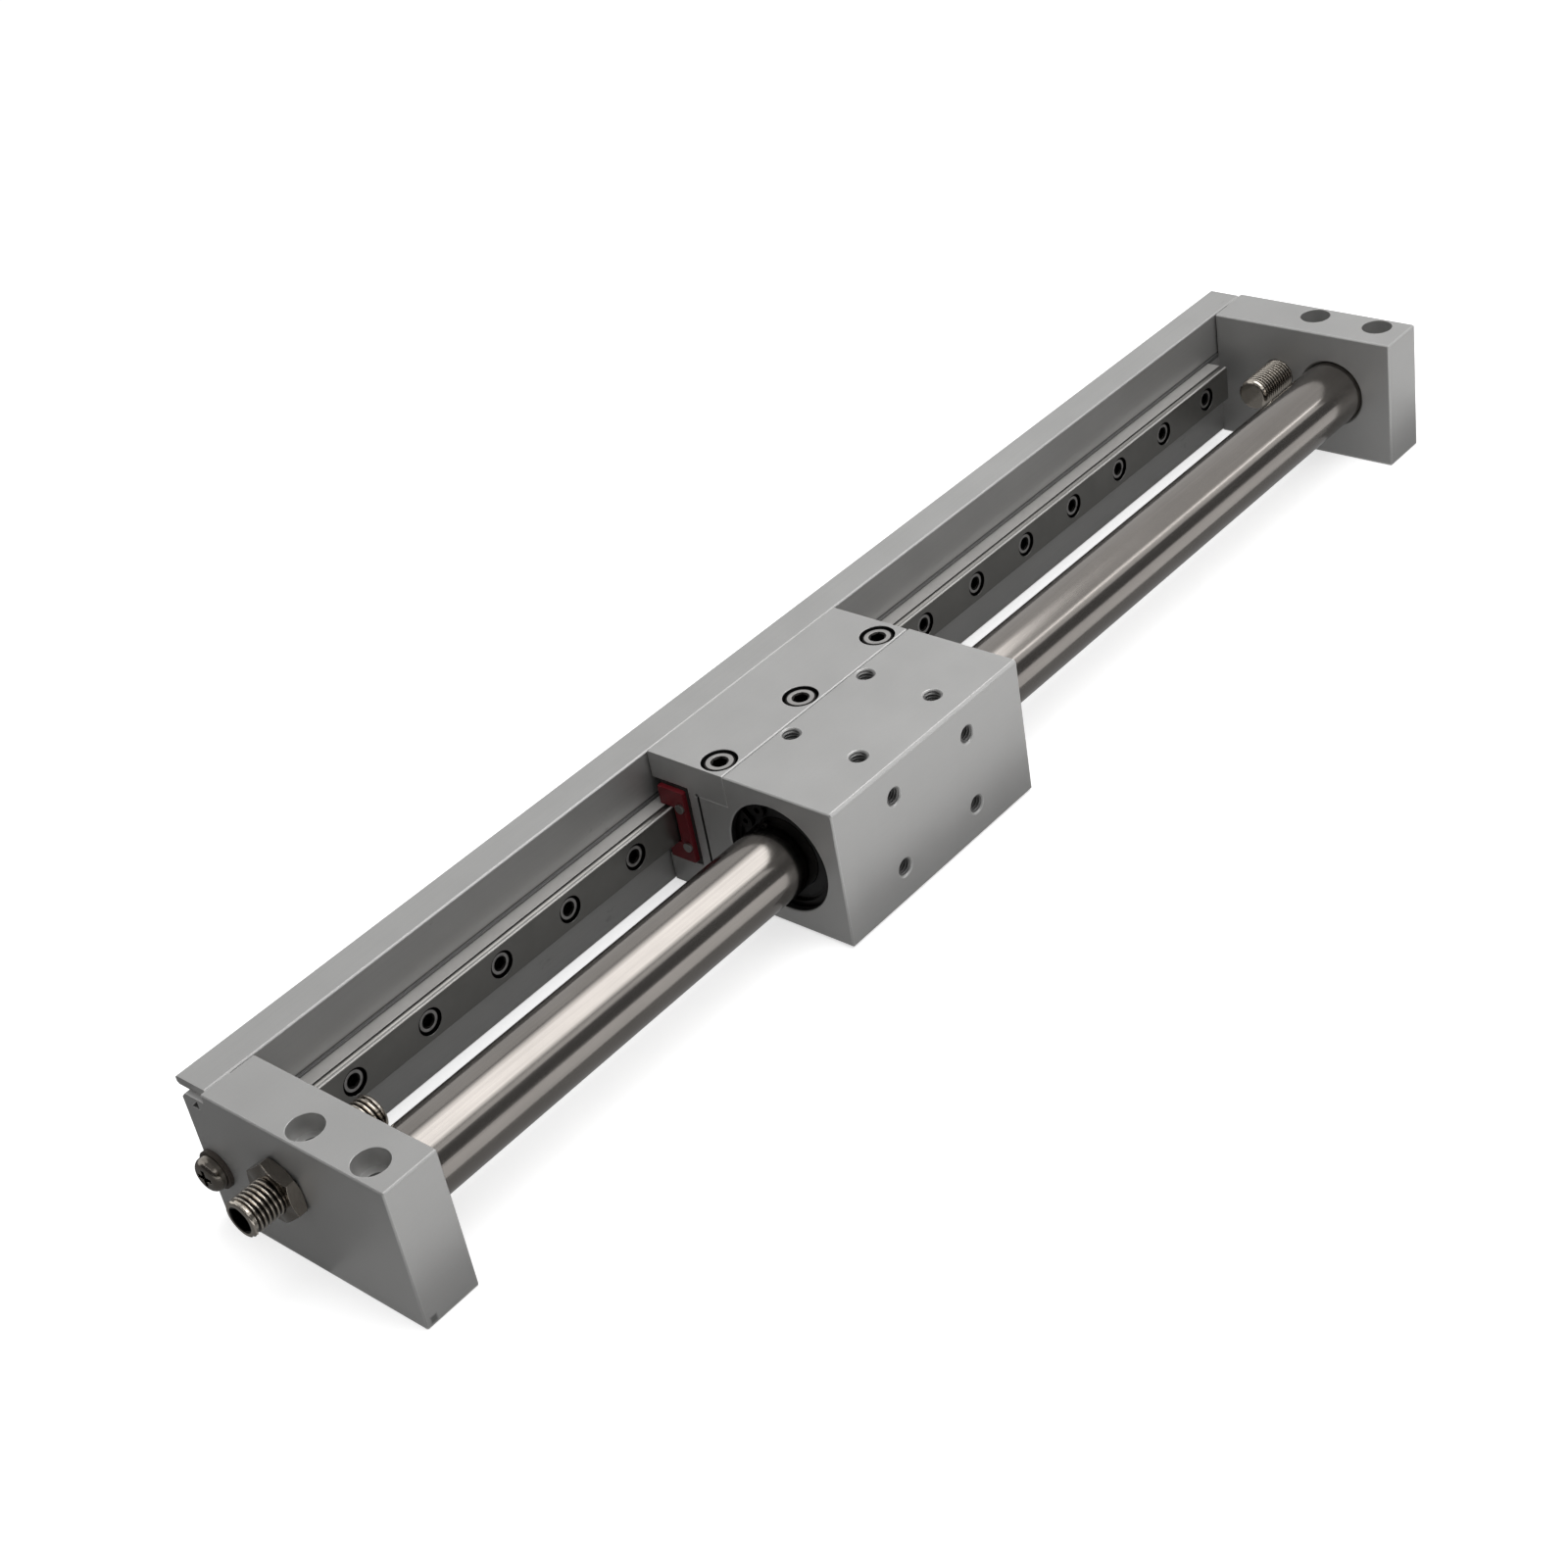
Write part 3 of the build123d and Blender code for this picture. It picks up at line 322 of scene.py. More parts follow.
def edgeMask(tree, width):
    # near 1 on the object's convex and hollow edges, 0 on its flats
    bevel = tree.nodes.new("ShaderNodeBevel")
    bevel.samples = 4
    bevel.inputs["Radius"].default_value = width
    geometry = tree.nodes.new("ShaderNodeNewGeometry")
    dot = tree.nodes.new("ShaderNodeVectorMath")
    dot.operation = "DOT_PRODUCT"
    tree.links.new(bevel.outputs["Normal"], dot.inputs[0])
    tree.links.new(geometry.outputs["Normal"], dot.inputs[1])
    return remap(tree, dot.outputs["Value"], 0.99, 0.85, 0.0, 1.0)


def bump(tree, shader, height, distance, strength=1.0, roundEdge=0.0):
    node = tree.nodes.new("ShaderNodeBump")
    node.inputs["Strength"].default_value = strength
    node.inputs["Distance"].default_value = distance
    tree.links.new(height, node.inputs["Height"])
    normal = node.outputs["Normal"]
    if roundEdge:
        bevel = tree.nodes.new("ShaderNodeBevel")
        bevel.samples = 4
        bevel.inputs["Radius"].default_value = roundEdge
        tree.links.new(bevel.outputs["Normal"], node.inputs["Normal"])
    tree.links.new(normal, shader.inputs["Normal"])


anodised = {
    "colour": (0.420, 0.418, 0.412),
    "metallic": 0.70,
    "roughness": (0.39, 0.46),
    "blotch": 14 * mm,
    "blotchTones": (0.965, 1.03),   # of the darkest and the lightest blotch
    "grain": 0.16 * mm,             # the etched, bead-blasted skin
    "grainShare": 0.22,
    "grainTone": 0.85,
    "streak": 0.5 * mm,             # faint lines that the die leaves along the stroke
    "streakShare": 0.20,
    "streakTone": 0.80,
    "stain": 9 * mm,                # a few small dull marks left by handling
    "stainTone": 0.55,
    "edge": 0.30 * mm,
    "edgeHighlightTone": 1.75,
    "relief": 0.010 * mm,
}


def anodisedAluminium(name, drawn, tone=1.0, stains=0.0, spots=(), edges=0.45):
    # drawn is 1 where the profile was pressed through a die; edges is how strongly a highlight is painted
    # on the edges;
    # spots are pairs of a mask maker and the factor that paints the metal lighter or darker there
    s = anodised
    material, tree, shader = shaderOf(name)
    base = shade(s["colour"], tone)
    metres = place(tree)
    grain = noise(tree, metres, s["grain"], 2.0)
    cloud = noise(tree, metres, s["blotch"], 4.0)
    streaks = noise(tree, place(tree, (0.02, 1, 1)), s["streak"], 3.0)
    dark, light = (shade(base, blotch) for blotch in s["blotchTones"])
    colour = mixColour(tree, spread(tree, cloud, 0, 1), dark, light)
    grained = remap(tree, grain, 0.35, 0.65, 0, s["grainShare"])
    colour = mixColour(tree, grained, colour, shade(base, s["grainTone"]))
    streaked = remap(tree, streaks, 0.42, 0.72, 0, s["streakShare"] * drawn)
    colour = mixColour(tree, streaked, colour, shade(base, s["streakTone"]))
    if stains:
        handled = noise(tree, place(tree, (0.5, 1, 1)), s["stain"], 5.0, 0.7)
        handled = remap(tree, handled, 0.66, 0.72, 0, stains)
        colour = mixColour(tree, handled, colour, shade(base, s["stainTone"]))
    # painted highlight: the edges are lighter, as much as edges says
    edge = combine(tree, "MULTIPLY", edgeMask(tree, s["edge"]), edges)
    colour = mixColour(tree, edge, colour, shade(base, s["edgeHighlightTone"]))
    for mask, factor in spots:
        colour = mixColour(tree, mask(tree), colour, shade(base, factor))
    tree.links.new(colour, shader.inputs["Base Color"])
    shader.inputs["Metallic"].default_value = s["metallic"]
    tree.links.new(spread(tree, cloud, *s["roughness"]), shader.inputs["Roughness"])
    height = combine(tree, "ADD", grain, combine(tree, "MULTIPLY", streaks, 0.5 * drawn))
    bump(tree, shader, height, s["relief"], 0.55, s["edge"])
    return material


groundSteel = {
    "colour": (0.292, 0.272, 0.254),
    "roughness": (0.12, 0.20),
    "line": 0.10 * mm,              # width of a grinding line round the tube
    "streak": 0.45 * mm,            # width of a polishing streak along it
    "blotch": 10 * mm,
    "tones": (0.94, 1.05),          # of the darkest and the lightest blotch
    "streakShare": 0.30,
    "streakTone": 0.78,
    "relief": 0.004 * mm,
}


def groundTube(name, s):
    material, tree, shader = shaderOf(name)
    lines = noise(tree, place(tree, (1, 0.03, 0.03)), s["line"], 3.0)
    streaks = noise(tree, place(tree, (0.012, 1, 1)), s["streak"], 4.0)
    cloud = noise(tree, place(tree, (0.6, 1, 1)), s["blotch"], 5.0, 0.6)
    dark, light = (shade(s["colour"], tone) for tone in s["tones"])
    colour = mixColour(tree, spread(tree, cloud, 0, 1), dark, light)
    streaked = remap(tree, streaks, 0.35, 0.7, 0, s["streakShare"])
    colour = mixColour(tree, streaked, colour, shade(s["colour"], s["streakTone"]))
    tree.links.new(colour, shader.inputs["Base Color"])
    shader.inputs["Metallic"].default_value = 1.0
    tree.links.new(spread(tree, streaks, *s["roughness"]), shader.inputs["Roughness"])
    height = combine(tree, "ADD", streaks, combine(tree, "MULTIPLY", lines, 0.25))
    bump(tree, shader, height, s["relief"], 0.5)
    return material


railSettings = {
    "face": (0.245, 0.240, 0.228),
    "litGroundSides": (0.50, 0.49, 0.475),
    "black": (0.012, 0.012, 0.012),
    "roughness": (0.28, 0.38),
    "metallic": (0.45, 0.95),       # of the sides and of the face
    "grain": 0.12 * mm,
    "cloud": 6 * mm,
    "cloudShare": 0.25,
    "cloudTone": 0.8,
    "edgeHighlightTone": 1.3,
    "edge": 0.10 * mm,
    "relief": 0.003 * mm,
    "sideBand": 0.12 * mm,          # how deep the ground sides, painted lighter, are
    "wellSkin": 0.15 * mm,          # the counterbores' painted shade starts so far below the face
    "wellReach": 3.3 * mm,
    "grooveDrop": 1.05 * mm,        # the painted shade in the ball grooves, below the face
    "grooveInset": 0.42 * mm,
    "grooveReach": (0.42 * mm, 0.36 * mm),
    "soft": 0.05 * mm,
}


def railSteel(name, s):
    # satin face, ground sides painted lighter for the light on the rail's upper side, and painted shade as
    # black in the grooves and round the screws
    low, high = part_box("guide_rail")
    middle = (low + high) / 2
    half = (high.z - low.z) / 2
    depth = high.y - low.y
    material, tree, shader = shaderOf(name)
    marks = noise(tree, place(tree, (0.02, 1, 1)), s["grain"], 3.0)
    cloud = noise(tree, place(tree), s["cloud"], 4.0)
    # ground sides, painted lighter for the light that falls on them
    core = zone(tree, middle, (endless, endless, half - s["sideBand"]), s["soft"])
    colour = mixColour(tree, core, s["litGroundSides"], s["face"])
    clouded = spread(tree, cloud, 0, s["cloudShare"])
    colour = mixColour(tree, clouded, colour, shade(s["face"], s["cloudTone"]))
    # painted highlight: the rail's edges are lighter
    edge = combine(tree, "MULTIPLY", edgeMask(tree, s["edge"]), 0.5)
    colour = mixColour(tree, edge, colour, shade(s["litGroundSides"], s["edgeHighlightTone"]))
    # painted shade: black in the counterbores round the screws and in the ball grooves
    under = (middle.x, middle.y + s["wellSkin"], middle.z)
    wellShade = zone(tree, under, (endless, depth / 2, s["wellReach"]), s["soft"])
    colour = mixColour(tree, wellShade, colour, s["black"])
    for side in (-1, 1):
        inGroove = (middle.x, low.y + s["grooveDrop"], middle.z + side * (half - s["grooveInset"]))
        grooveShade = zone(tree, inGroove, (endless, *s["grooveReach"]), s["soft"])
        colour = mixColour(tree, grooveShade, colour, s["black"])
    tree.links.new(colour, shader.inputs["Base Color"])
    tree.links.new(remap(tree, core, 0, 1, *s["metallic"]), shader.inputs["Metallic"])
    tree.links.new(spread(tree, cloud, *s["roughness"]), shader.inputs["Roughness"])
    bump(tree, shader, marks, s["relief"], 0.5, s["edge"])
    return material


machined = {
    "cloud": 5 * mm,
    "cloudTones": (0.88, 1.08),
    "markShare": 0.3,
    "markTone": 0.7,
    "paleEdgeShare": 0.6,
}


def machinedMetal(name, colour, roughness, grain, stretch=(1, 1, 1), edgeLight=1.5, edge=0.15 * mm,
                  relief=0.004 * mm, spots=()):
    # turned or plated metal with fine tool marks, stretched where they run one way, and a highlight painted
    # along its edges
    s = machined
    material, tree, shader = shaderOf(name)
    marks = noise(tree, place(tree, stretch), grain, 3.0)
    cloud = noise(tree, place(tree), s["cloud"], 4.0)
    dark, light = (shade(colour, tone) for tone in s["cloudTones"])
    tint = mixColour(tree, spread(tree, cloud, 0, 1), dark, light)
    tint = mixColour(tree, spread(tree, marks, 0, s["markShare"]), tint, shade(colour, s["markTone"]))
    # painted highlight: the edges lighter by edgeLight
    paleEdge = combine(tree, "MULTIPLY", edgeMask(tree, edge), s["paleEdgeShare"])
    tint = mixColour(tree, paleEdge, tint, shade(colour, edgeLight))
    for mask, factor in spots:
        tint = mixColour(tree, mask(tree), tint, shade(colour, factor))
    tree.links.new(tint, shader.inputs["Base Color"])
    shader.inputs["Metallic"].default_value = 1.0
    dull = spread(tree, cloud, roughness - 0.03, roughness + 0.06)
    tree.links.new(dull, shader.inputs["Roughness"])
    bump(tree, shader, marks, relief, 0.6, edge)
    return material


moulded = {
    "cloud": 3 * mm,
    "cloudTones": (0.8, 1.15),
    "paleEdgeShare": 0.4,
    "paleEdgeTone": 1.9,
    "relief": 0.008 * mm,
}


def mattPlastic(name, colour, roughness, grain=0.25 * mm, sheen=0.3, edge=0.12 * mm):
    # moulded plastic or rubber, paler along its edges
    s = moulded
    material, tree, shader = shaderOf(name)
    skin = noise(tree, place(tree), grain, 2.0)
    cloud = noise(tree, place(tree), s["cloud"], 4.0)
    dark, light = (shade(colour, tone) for tone in s["cloudTones"])
    tint = mixColour(tree, spread(tree, cloud, 0, 1), dark, light)
    paleEdge = combine(tree, "MULTIPLY", edgeMask(tree, edge), s["paleEdgeShare"])
    tint = mixColour(tree, paleEdge, tint, shade(colour, s["paleEdgeTone"]))
    tree.links.new(tint, shader.inputs["Base Color"])
    dull = spread(tree, cloud, roughness - 0.05, roughness + 0.08)
    tree.links.new(dull, shader.inputs["Roughness"])
    shader.inputs["Specular IOR Level"].default_value = sheen
    bump(tree, shader, skin, s["relief"], 0.6, edge)
    return material


# Places where light and shade are painted on the metal, and a small dark spot
tubeMiddle = boxMiddle("cylinder_tube")
sliderLow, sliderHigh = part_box("slider_block")
sliderMiddle = (sliderLow + sliderHigh) / 2
sliderHalf = (sliderHigh.x - sliderLow.x) / 2
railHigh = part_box("guide_rail")[1]
leftLow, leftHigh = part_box("left_end_block")

marks = {
    "boreRadius": 12.95 * mm,
    "boreInset": 0.22 * mm,         # the bore's mark ends so far inside the slider
    "wellTop": 0.22 * mm,           # below the slider's top
    "wellDepth": 6.0 * mm,
    "wellPast": (0.62 * mm, 0.55 * mm),         # past the screw heads
    "cornerLift": 0.3 * mm,
    "cornerReach": (0.7 * mm, 0.5 * mm),
    "cornerSoft": 0.25 * mm,
    "counterboreDrop": 2.85 * mm,
    "counterboreReach": (4.1 * mm, 13.0 * mm, 2.5 * mm),
    "spotPlace": (1.9 * mm, 1.5 * mm),         # from the left block's corner, and up
    "spotReach": (0.5 * mm, 0.4 * mm, 0.5 * mm),
    "spotSoft": 0.5 * mm,
    "slitMiddle": (0.15 * mm, -1.0 * mm),       # behind the slider, and up from the tube
    "slitReach": (0.20 * mm, 9.5 * mm),
    "slitEnds": 1.0 * mm,
    "rootRadius": 3.76 * mm,
    "rootInset": 1.3 * mm,
    "soft": 0.05 * mm,
    "slitSoft": 0.06 * mm,
}


def sliderBoreShade(tree):
    # painted shade inside the slider's bore
    middle = Vector((sliderMiddle.x, tubeMiddle.y, tubeMiddle.z))
    return roundZone(tree, middle, marks["boreRadius"], sliderHalf - marks["boreInset"])


def screwWellShade(tree):
    # painted shade in the wells round the bracket screws
    low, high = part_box("bracket_screws")
    halfDepth = marks["wellDepth"] / 2
    middle = ((low.x + high.x) / 2, (low.y + high.y) / 2, sliderHigh.z - marks["wellTop"] - halfDepth)
    pastX, pastY = marks["wellPast"]
    reach = ((high.x - low.x) / 2 + pastX, (high.y - low.y) / 2 + pastY, halfDepth)
    return zone(tree, middle, reach, marks["soft"])


def wallCornerShade(tree):
    # painted shade where the wall meets the rail
    middle = (0, railHigh.y, railHigh.z + marks["cornerLift"])
    return zone(tree, middle, (endless, *marks["cornerReach"]), marks["cornerSoft"])


def counterboreLightAndShade(side):
    # painted light and shade in the wells of one block's mounting screws
    holes = next(mount for mount in frame["record"]["mounts"] if mount["name"] == "base_holes")
    middle = (side * holes["dims"]["spacing_x_mm"] * mm / 2, 0, leftHigh.z - marks["counterboreDrop"])
    return lambda tree: zone(tree, middle, marks["counterboreReach"])


def frontDarkSpot(tree):
    # a small dark spot low on the left block's front, near its outer corner
    along, up = marks["spotPlace"]
    return zone(tree, (leftLow.x + along, leftLow.y, up), marks["spotReach"], marks["spotSoft"])


def webSlitShade(tree):
    # the gap between the bracket's web and the slider is painted as a dark line of shade on the ends
    behind, up = marks["slitMiddle"]
    middle = (sliderMiddle.x, sliderHigh.y + behind, tubeMiddle.z + up)
    slit = zone(tree, middle, (endless, *marks["slitReach"]), marks["slitSoft"])
    faces = zone(tree, sliderMiddle, (sliderHalf + marks["slitEnds"], endless, endless), marks["soft"])
    return combine(tree, "MULTIPLY", slit, faces)


def threadRoots(bolt):
    # oil and shade between the threads of a stop bolt, clear of its ends
    low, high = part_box(bolt)
    reach = (high.x - low.x) / 2 - marks["rootInset"]
    return lambda tree: roundZone(tree, (low + high) / 2, marks["rootRadius"], reach)


materials = {
    "frame": anodisedAluminium(
        "frameAluminium", drawn=1.0, stains=0.5, edges=0.5,
        spots=[(wallCornerShade, 0.35)],
    ),
    "block": anodisedAluminium(
        "blockAluminium", drawn=0.25, edges=0.75,
        # painted light in the left block's counterbores, painted shade in the right block's
        spots=[(counterboreLightAndShade(-1), 1.25), (counterboreLightAndShade(1), 0.95), (frontDarkSpot, 0.45)],
    ),
    "slider": anodisedAluminium(
        "sliderAluminium", drawn=0.35, tone=1.02, edges=0.8,
        spots=[(sliderBoreShade, 0.10), (screwWellShade, 0.06), (webSlitShade, 0.12)],
    ),
    # painted shade: the threads inside the tapped holes are a darker aluminium
    "thread": anodisedAluminium("shadedTappedAluminium", drawn=0.0, tone=0.38, edges=0.8),
    "tube": groundTube("groundTube", groundSteel),
    "rail": railSteel("railSteel", railSettings),
    "carriage": machinedMetal("carriageSteel", (0.20, 0.195, 0.19), 0.30, 0.12 * mm, (0.02, 1, 1), 2.2),
    "screw": machinedMetal("screwSteel", (0.46, 0.45, 0.44), 0.30, 0.10 * mm, edgeLight=1.4),
    # painted shade: black for the insides of sockets and the rims and sides of screw heads
    "shadeBlack": machinedMetal("shadeBlackSteel", (0.020, 0.019, 0.018), 0.38, 0.10 * mm, edgeLight=1.5),
    "nickel": machinedMetal(
        "nickelPlate", (0.60, 0.55, 0.485), 0.13, 0.20 * mm,
        spots=[(threadRoots("left_stop_bolt"), 0.13), (threadRoots("right_stop_bolt"), 0.13)],
    ),
    "dullNickel": machinedMetal("dullNickel", (0.27, 0.245, 0.215), 0.17, 0.20 * mm, edgeLight=2.8),
    "ball": machinedMetal("ballSteel", (0.72, 0.72, 0.74), 0.08, 0.3 * mm),
    "spring": machinedMetal("springSteel", (0.018, 0.017, 0.016), 0.30, 0.10 * mm, edgeLight=1.6),
    "yoke": machinedMetal("yokeSteel", (0.42, 0.41, 0.40), 0.35, 0.12 * mm),
    "magnet": machinedMetal("magnetPlate", (0.30, 0.30, 0.32), 0.42, 0.2 * mm),
    "turned": machinedMetal("turnedAluminium", (0.60, 0.60, 0.60), 0.30, 0.10 * mm, (1, 0.05, 0.05)),
    "rubber": mattPlastic("blackRubber", (0.018, 0.018, 0.018), 0.55),
    "plastic": mattPlastic("darkPlastic", (0.022, 0.021, 0.020), 0.42),
    "bearing": mattPlastic("bearingPlastic", (0.50, 0.46, 0.34), 0.45),
    "gasket": mattPlastic("gasketFibre", (0.060, 0.050, 0.042), 0.45),
    "redSeal": mattPlastic("redSeal", (0.110, 0.006, 0.010), 0.40, 0.2 * mm, 0.4),
}

finishOf = {
    "frame": ["side_frame"],
    "block": ["left_end_block", "right_end_block"],
    "slider": ["slider_block", "guide_bracket"],
    "tube": ["cylinder_tube", "piston_shaft"],
    "rail": ["guide_rail"],
    "carriage": ["left_carriage_block", "right_carriage_block"],
    "screw": ["frame_screws", "guide_rail_screws", "bracket_screws", "seal_screws", "carriage_screws"],
    "nickel": ["left_stop_bolt", "right_stop_bolt"],
    "dullNickel": ["left_lock_nut", "right_lock_nut", "port_plug"],
    "ball": ["left_carriage_balls", "right_carriage_balls"],
    "spring": ["left_snap_ring", "right_snap_ring"],
    "yoke": ["slider_yokes", "piston_yokes", "shaft_nuts"],
    "magnet": ["slider_magnets", "piston_magnets"],
    "turned": ["left_piston_head", "right_piston_head"],
    "rubber": [
        "left_tube_seal", "right_tube_seal", "passage_seals", "left_scraper", "right_scraper",
        "left_piston_seal", "right_piston_seal", "left_bumper", "right_bumper",
    ],
    "plastic": ["left_carriage_caps", "right_carriage_caps", "left_end_holder", "right_end_holder"],
    "bearing": [
        "left_slider_bearing", "right_slider_bearing", "left_piston_bearing", "right_piston_bearing",
    ],
    "gasket": ["port_plug_gasket"],
    "redSeal": ["left_carriage_seals", "right_carriage_seals"],
}

for finish, nodes in finishOf.items():
    for node in nodes:
        mesh = frame["nodes"][node].data
        mesh.materials.clear()
        mesh.materials.append(materials[finish])
print("materials are on", sum(len(nodes) for nodes in finishOf.values()), "nodes")


# New pieces

def finished(bm, name, material, body, stands=(), smooth=35, second=None):
    # closes the mesh, turns its faces outward and makes it a piece of the scene;
    # edges sharper than smooth degrees stay sharp, and second is the material of slot 1
    bmesh.ops.remove_doubles(bm, verts=bm.verts, dist=1e-6)
    bmesh.ops.recalc_face_normals(bm, faces=bm.faces)
    for face in bm.faces:
        face.smooth = True
    for edge in bm.edges:
        edge.smooth = len(edge.link_faces) == 2 and edge.calc_face_angle(0) < math.radians(smooth)
    mesh = bpy.data.meshes.new(name)
    bm.to_mesh(mesh)
    bm.free()
    mesh.materials.append(materials[material])
    if second:
        mesh.materials.append(materials[second])
    piece = bpy.data.objects.new(name, mesh)
    scene.collection.objects.link(piece)
    if stands:
        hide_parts(*stands)
    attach(piece, body)


def vertsOf(geom):
    return [e for e in geom if isinstance(e, bmesh.types.BMVert)]


def edgesOf(geom):
    return [e for e in geom if isinstance(e, bmesh.types.BMEdge)]


def endFrame(axis, place):
    # turns a circle drawn flat so that it faces along the axis at place
    return Matrix.Translation(place) @ axis.to_track_quat("Z", "Y").to_matrix().to_4x4()


def acrossCorners(acrossFlats):
    # radius of a hexagon's corners
    return acrossFlats / 2 / math.cos(math.radians(30))


def lathe(bm, outline, centre, steps, axis=stroke):
    # turns an outline of (place along the axis, radius) into a closed round solid
    side = axis.orthogonal().normalized()
    points = [bm.verts.new(centre + axis * along + side * radius) for along, radius in outline]
    edges = [bm.edges.new(pair) for pair in zip(points, points[1:])]
    bmesh.ops.spin(
        bm, geom=points + edges, cent=centre, axis=axis, angle=2 * math.pi,
        steps=steps, use_merge=True, use_duplicate=False,
    )


def hexSocket(bm, place, axis, radius, mouth, depth):
    # sinks a hexagon socket into the one open ring of bm; axis points out of it
    bmesh.ops.remove_doubles(bm, verts=bm.verts, dist=1e-7)
    rim = [e for e in bm.edges if e.is_boundary]
    before = set(bm.faces)
    ring = bmesh.ops.create_circle(
        bm, segments=6, radius=radius, matrix=endFrame(axis, place - axis * mouth),
    )["verts"]
    edges = list({e for v in ring for e in v.link_edges})
    bmesh.ops.bridge_loops(bm, edges=rim + edges)
    sunk = bmesh.ops.extrude_edge_only(bm, edges=edges)["geom"]
    bmesh.ops.translate(bm, verts=vertsOf(sunk), vec=-axis * depth)
    bmesh.ops.contextual_create(bm, geom=edgesOf(sunk))
    for face in set(bm.faces) - before:
        face.material_index = 1


threadForm = {"foot": 0.49, "land": 0.12}       # half widths of a ridge, as shares of the pitch


def helix(bm, centre, axis, root, crest, pitch, turns, steps):
    # a thread ridge wound round the axis from centre; root and crest are radii
    side = axis.orthogonal().normalized()
    foot = threadForm["foot"] * pitch
    tip = threadForm["land"] * pitch
    profile = [(-foot, root), (-tip, crest), (tip, crest), (foot, root)]
    points = [bm.verts.new(centre + axis * along + side * radius) for along, radius in profile]
    edges = list(bm.faces.new(points).edges)
    spun = bmesh.ops.spin(
        bm, geom=points + edges, cent=centre, axis=axis, dvec=axis * pitch / steps,
        angle=2 * math.pi * turns, steps=int(steps * turns), use_duplicate=False,
    )
    bmesh.ops.contextual_create(bm, geom=edgesOf(spun["geom_last"]))


tube = {"steps": 192, "wall": 0.8 * mm, "break": 0.15 * mm}


def groundTubePiece(s):
    low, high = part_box("cylinder_tube")
    centre = boxMiddle("cylinder_tube")
    outer = (high.z - low.z) / 2
    inner = outer - s["wall"]
    half = (high.x - low.x) / 2
    cut = s["break"]
    outline = [
        (-half, inner), (-half, outer - cut), (-half + cut, outer), (half - cut, outer),
        (half, outer - cut), (half, inner), (-half, inner),
    ]
    bm = bmesh.new()
    lathe(bm, outline, centre, s["steps"])
    finished(bm, "ground_tube", "tube", "frame", ["cylinder_tube"])


stopBolt = {
    "thread": 8.0 * mm,
    "pitch": 1.0 * mm,
    "depth": 0.56 * mm,
    "tipRound": 1.1 * mm,
    "endRound": 0.5 * mm,
    "relief": 0.1 * mm,             # the core starts so far past each rounded end
    "buried": 0.05 * mm,            # the ridge's foot lies so far inside the core
    "fade": 0.5 * mm,               # the thread's run out
    "socket": 5.0 * mm,
    "socketDepth": 5.0 * mm,
    "rim": 0.05 * mm,
    "mouth": 0.12 * mm,             # break at the socket's edge
    "steps": 48,
    "arcSteps": 6,
}
arcTurn = 85                        # degrees of a rounded end, just short of a full quarter


def roundedEnd(place, inward, radius, bend, steps):
    # arc from the flat end at place to the full radius, as (along, radius) pairs
    points = []
    for n in range(steps + 1):
        turn = math.radians(arcTurn * n / steps)
        along = place + inward * bend * (1 - math.cos(turn))
        points.append((along, radius - bend + bend * math.sin(turn)))
    return points


def stopBoltPiece(side, sign, s):
    # sign is the end of the stroke that the bolt screws out to
    node = f"{side}_stop_bolt"
    low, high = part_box(node)
    centre = boxMiddle(node)
    length = high.x - low.x
    tipEnd = Vector((low.x if sign > 0 else high.x, centre.y, centre.z))
    axis = stroke * sign
    crest = s["thread"] / 2
    root = crest - s["depth"]
    hexRadius = acrossCorners(s["socket"])
    outline = [(0, 0)] + roundedEnd(0, 1, crest, s["tipRound"], s["arcSteps"])
    outline += [(s["tipRound"] + s["relief"], root), (length - s["endRound"] - s["relief"], root)]
    outline += reversed(roundedEnd(length, -1, crest, s["endRound"], s["arcSteps"]))
    outline.append((length, hexRadius + s["rim"]))
    bm = bmesh.new()
    lathe(bm, outline, tipEnd, s["steps"], axis)
    hexSocket(bm, tipEnd + axis * length, axis, hexRadius, s["mouth"], s["socketDepth"])

    # the thread runs between the two rounded ends and fades into the core there
    core = len(bm.verts)
    start = s["tipRound"] - s["relief"]
    stop = length - s["endRound"] + s["relief"]
    turns = (stop - start) / s["pitch"] - 1
    first = tipEnd + axis * (start + s["pitch"] / 2)
    helix(bm, first, axis, root - s["buried"], crest, s["pitch"], turns, s["steps"])
    bm.verts.ensure_lookup_table()
    for vert in list(bm.verts)[core:]:
        away = vert.co - tipEnd
        along = away.dot(axis)
        out = away - axis * along
        fade = min(along - start, stop - along) / s["fade"]
        limit = root + s["depth"] * max(0.0, min(1.0, fade))
        if out.length > limit:
            vert.co = tipEnd + axis * along + out.normalized() * limit
    name = f"{side}_threaded_stop"
    # the socket's inside takes the black of painted shade
    finished(bm, name, "nickel", f"{side}_stop", [node], 50, "shadeBlack")


lockNut = {
    "width": 12.0 * mm,
    "bore": 8.1 * mm,
    "turn": 22.0,                   # degrees from +Y to the first corner
    "turned": 0.96,                 # share of the flats' reach that the end faces keep
    "corner": 0.55,                 # how steeply the corners are turned off
    "cuts": 7,
    "boreSteps": 48,
    "layers": (0.0, 0.14, 0.30, 0.70, 0.86, 1.0),
}


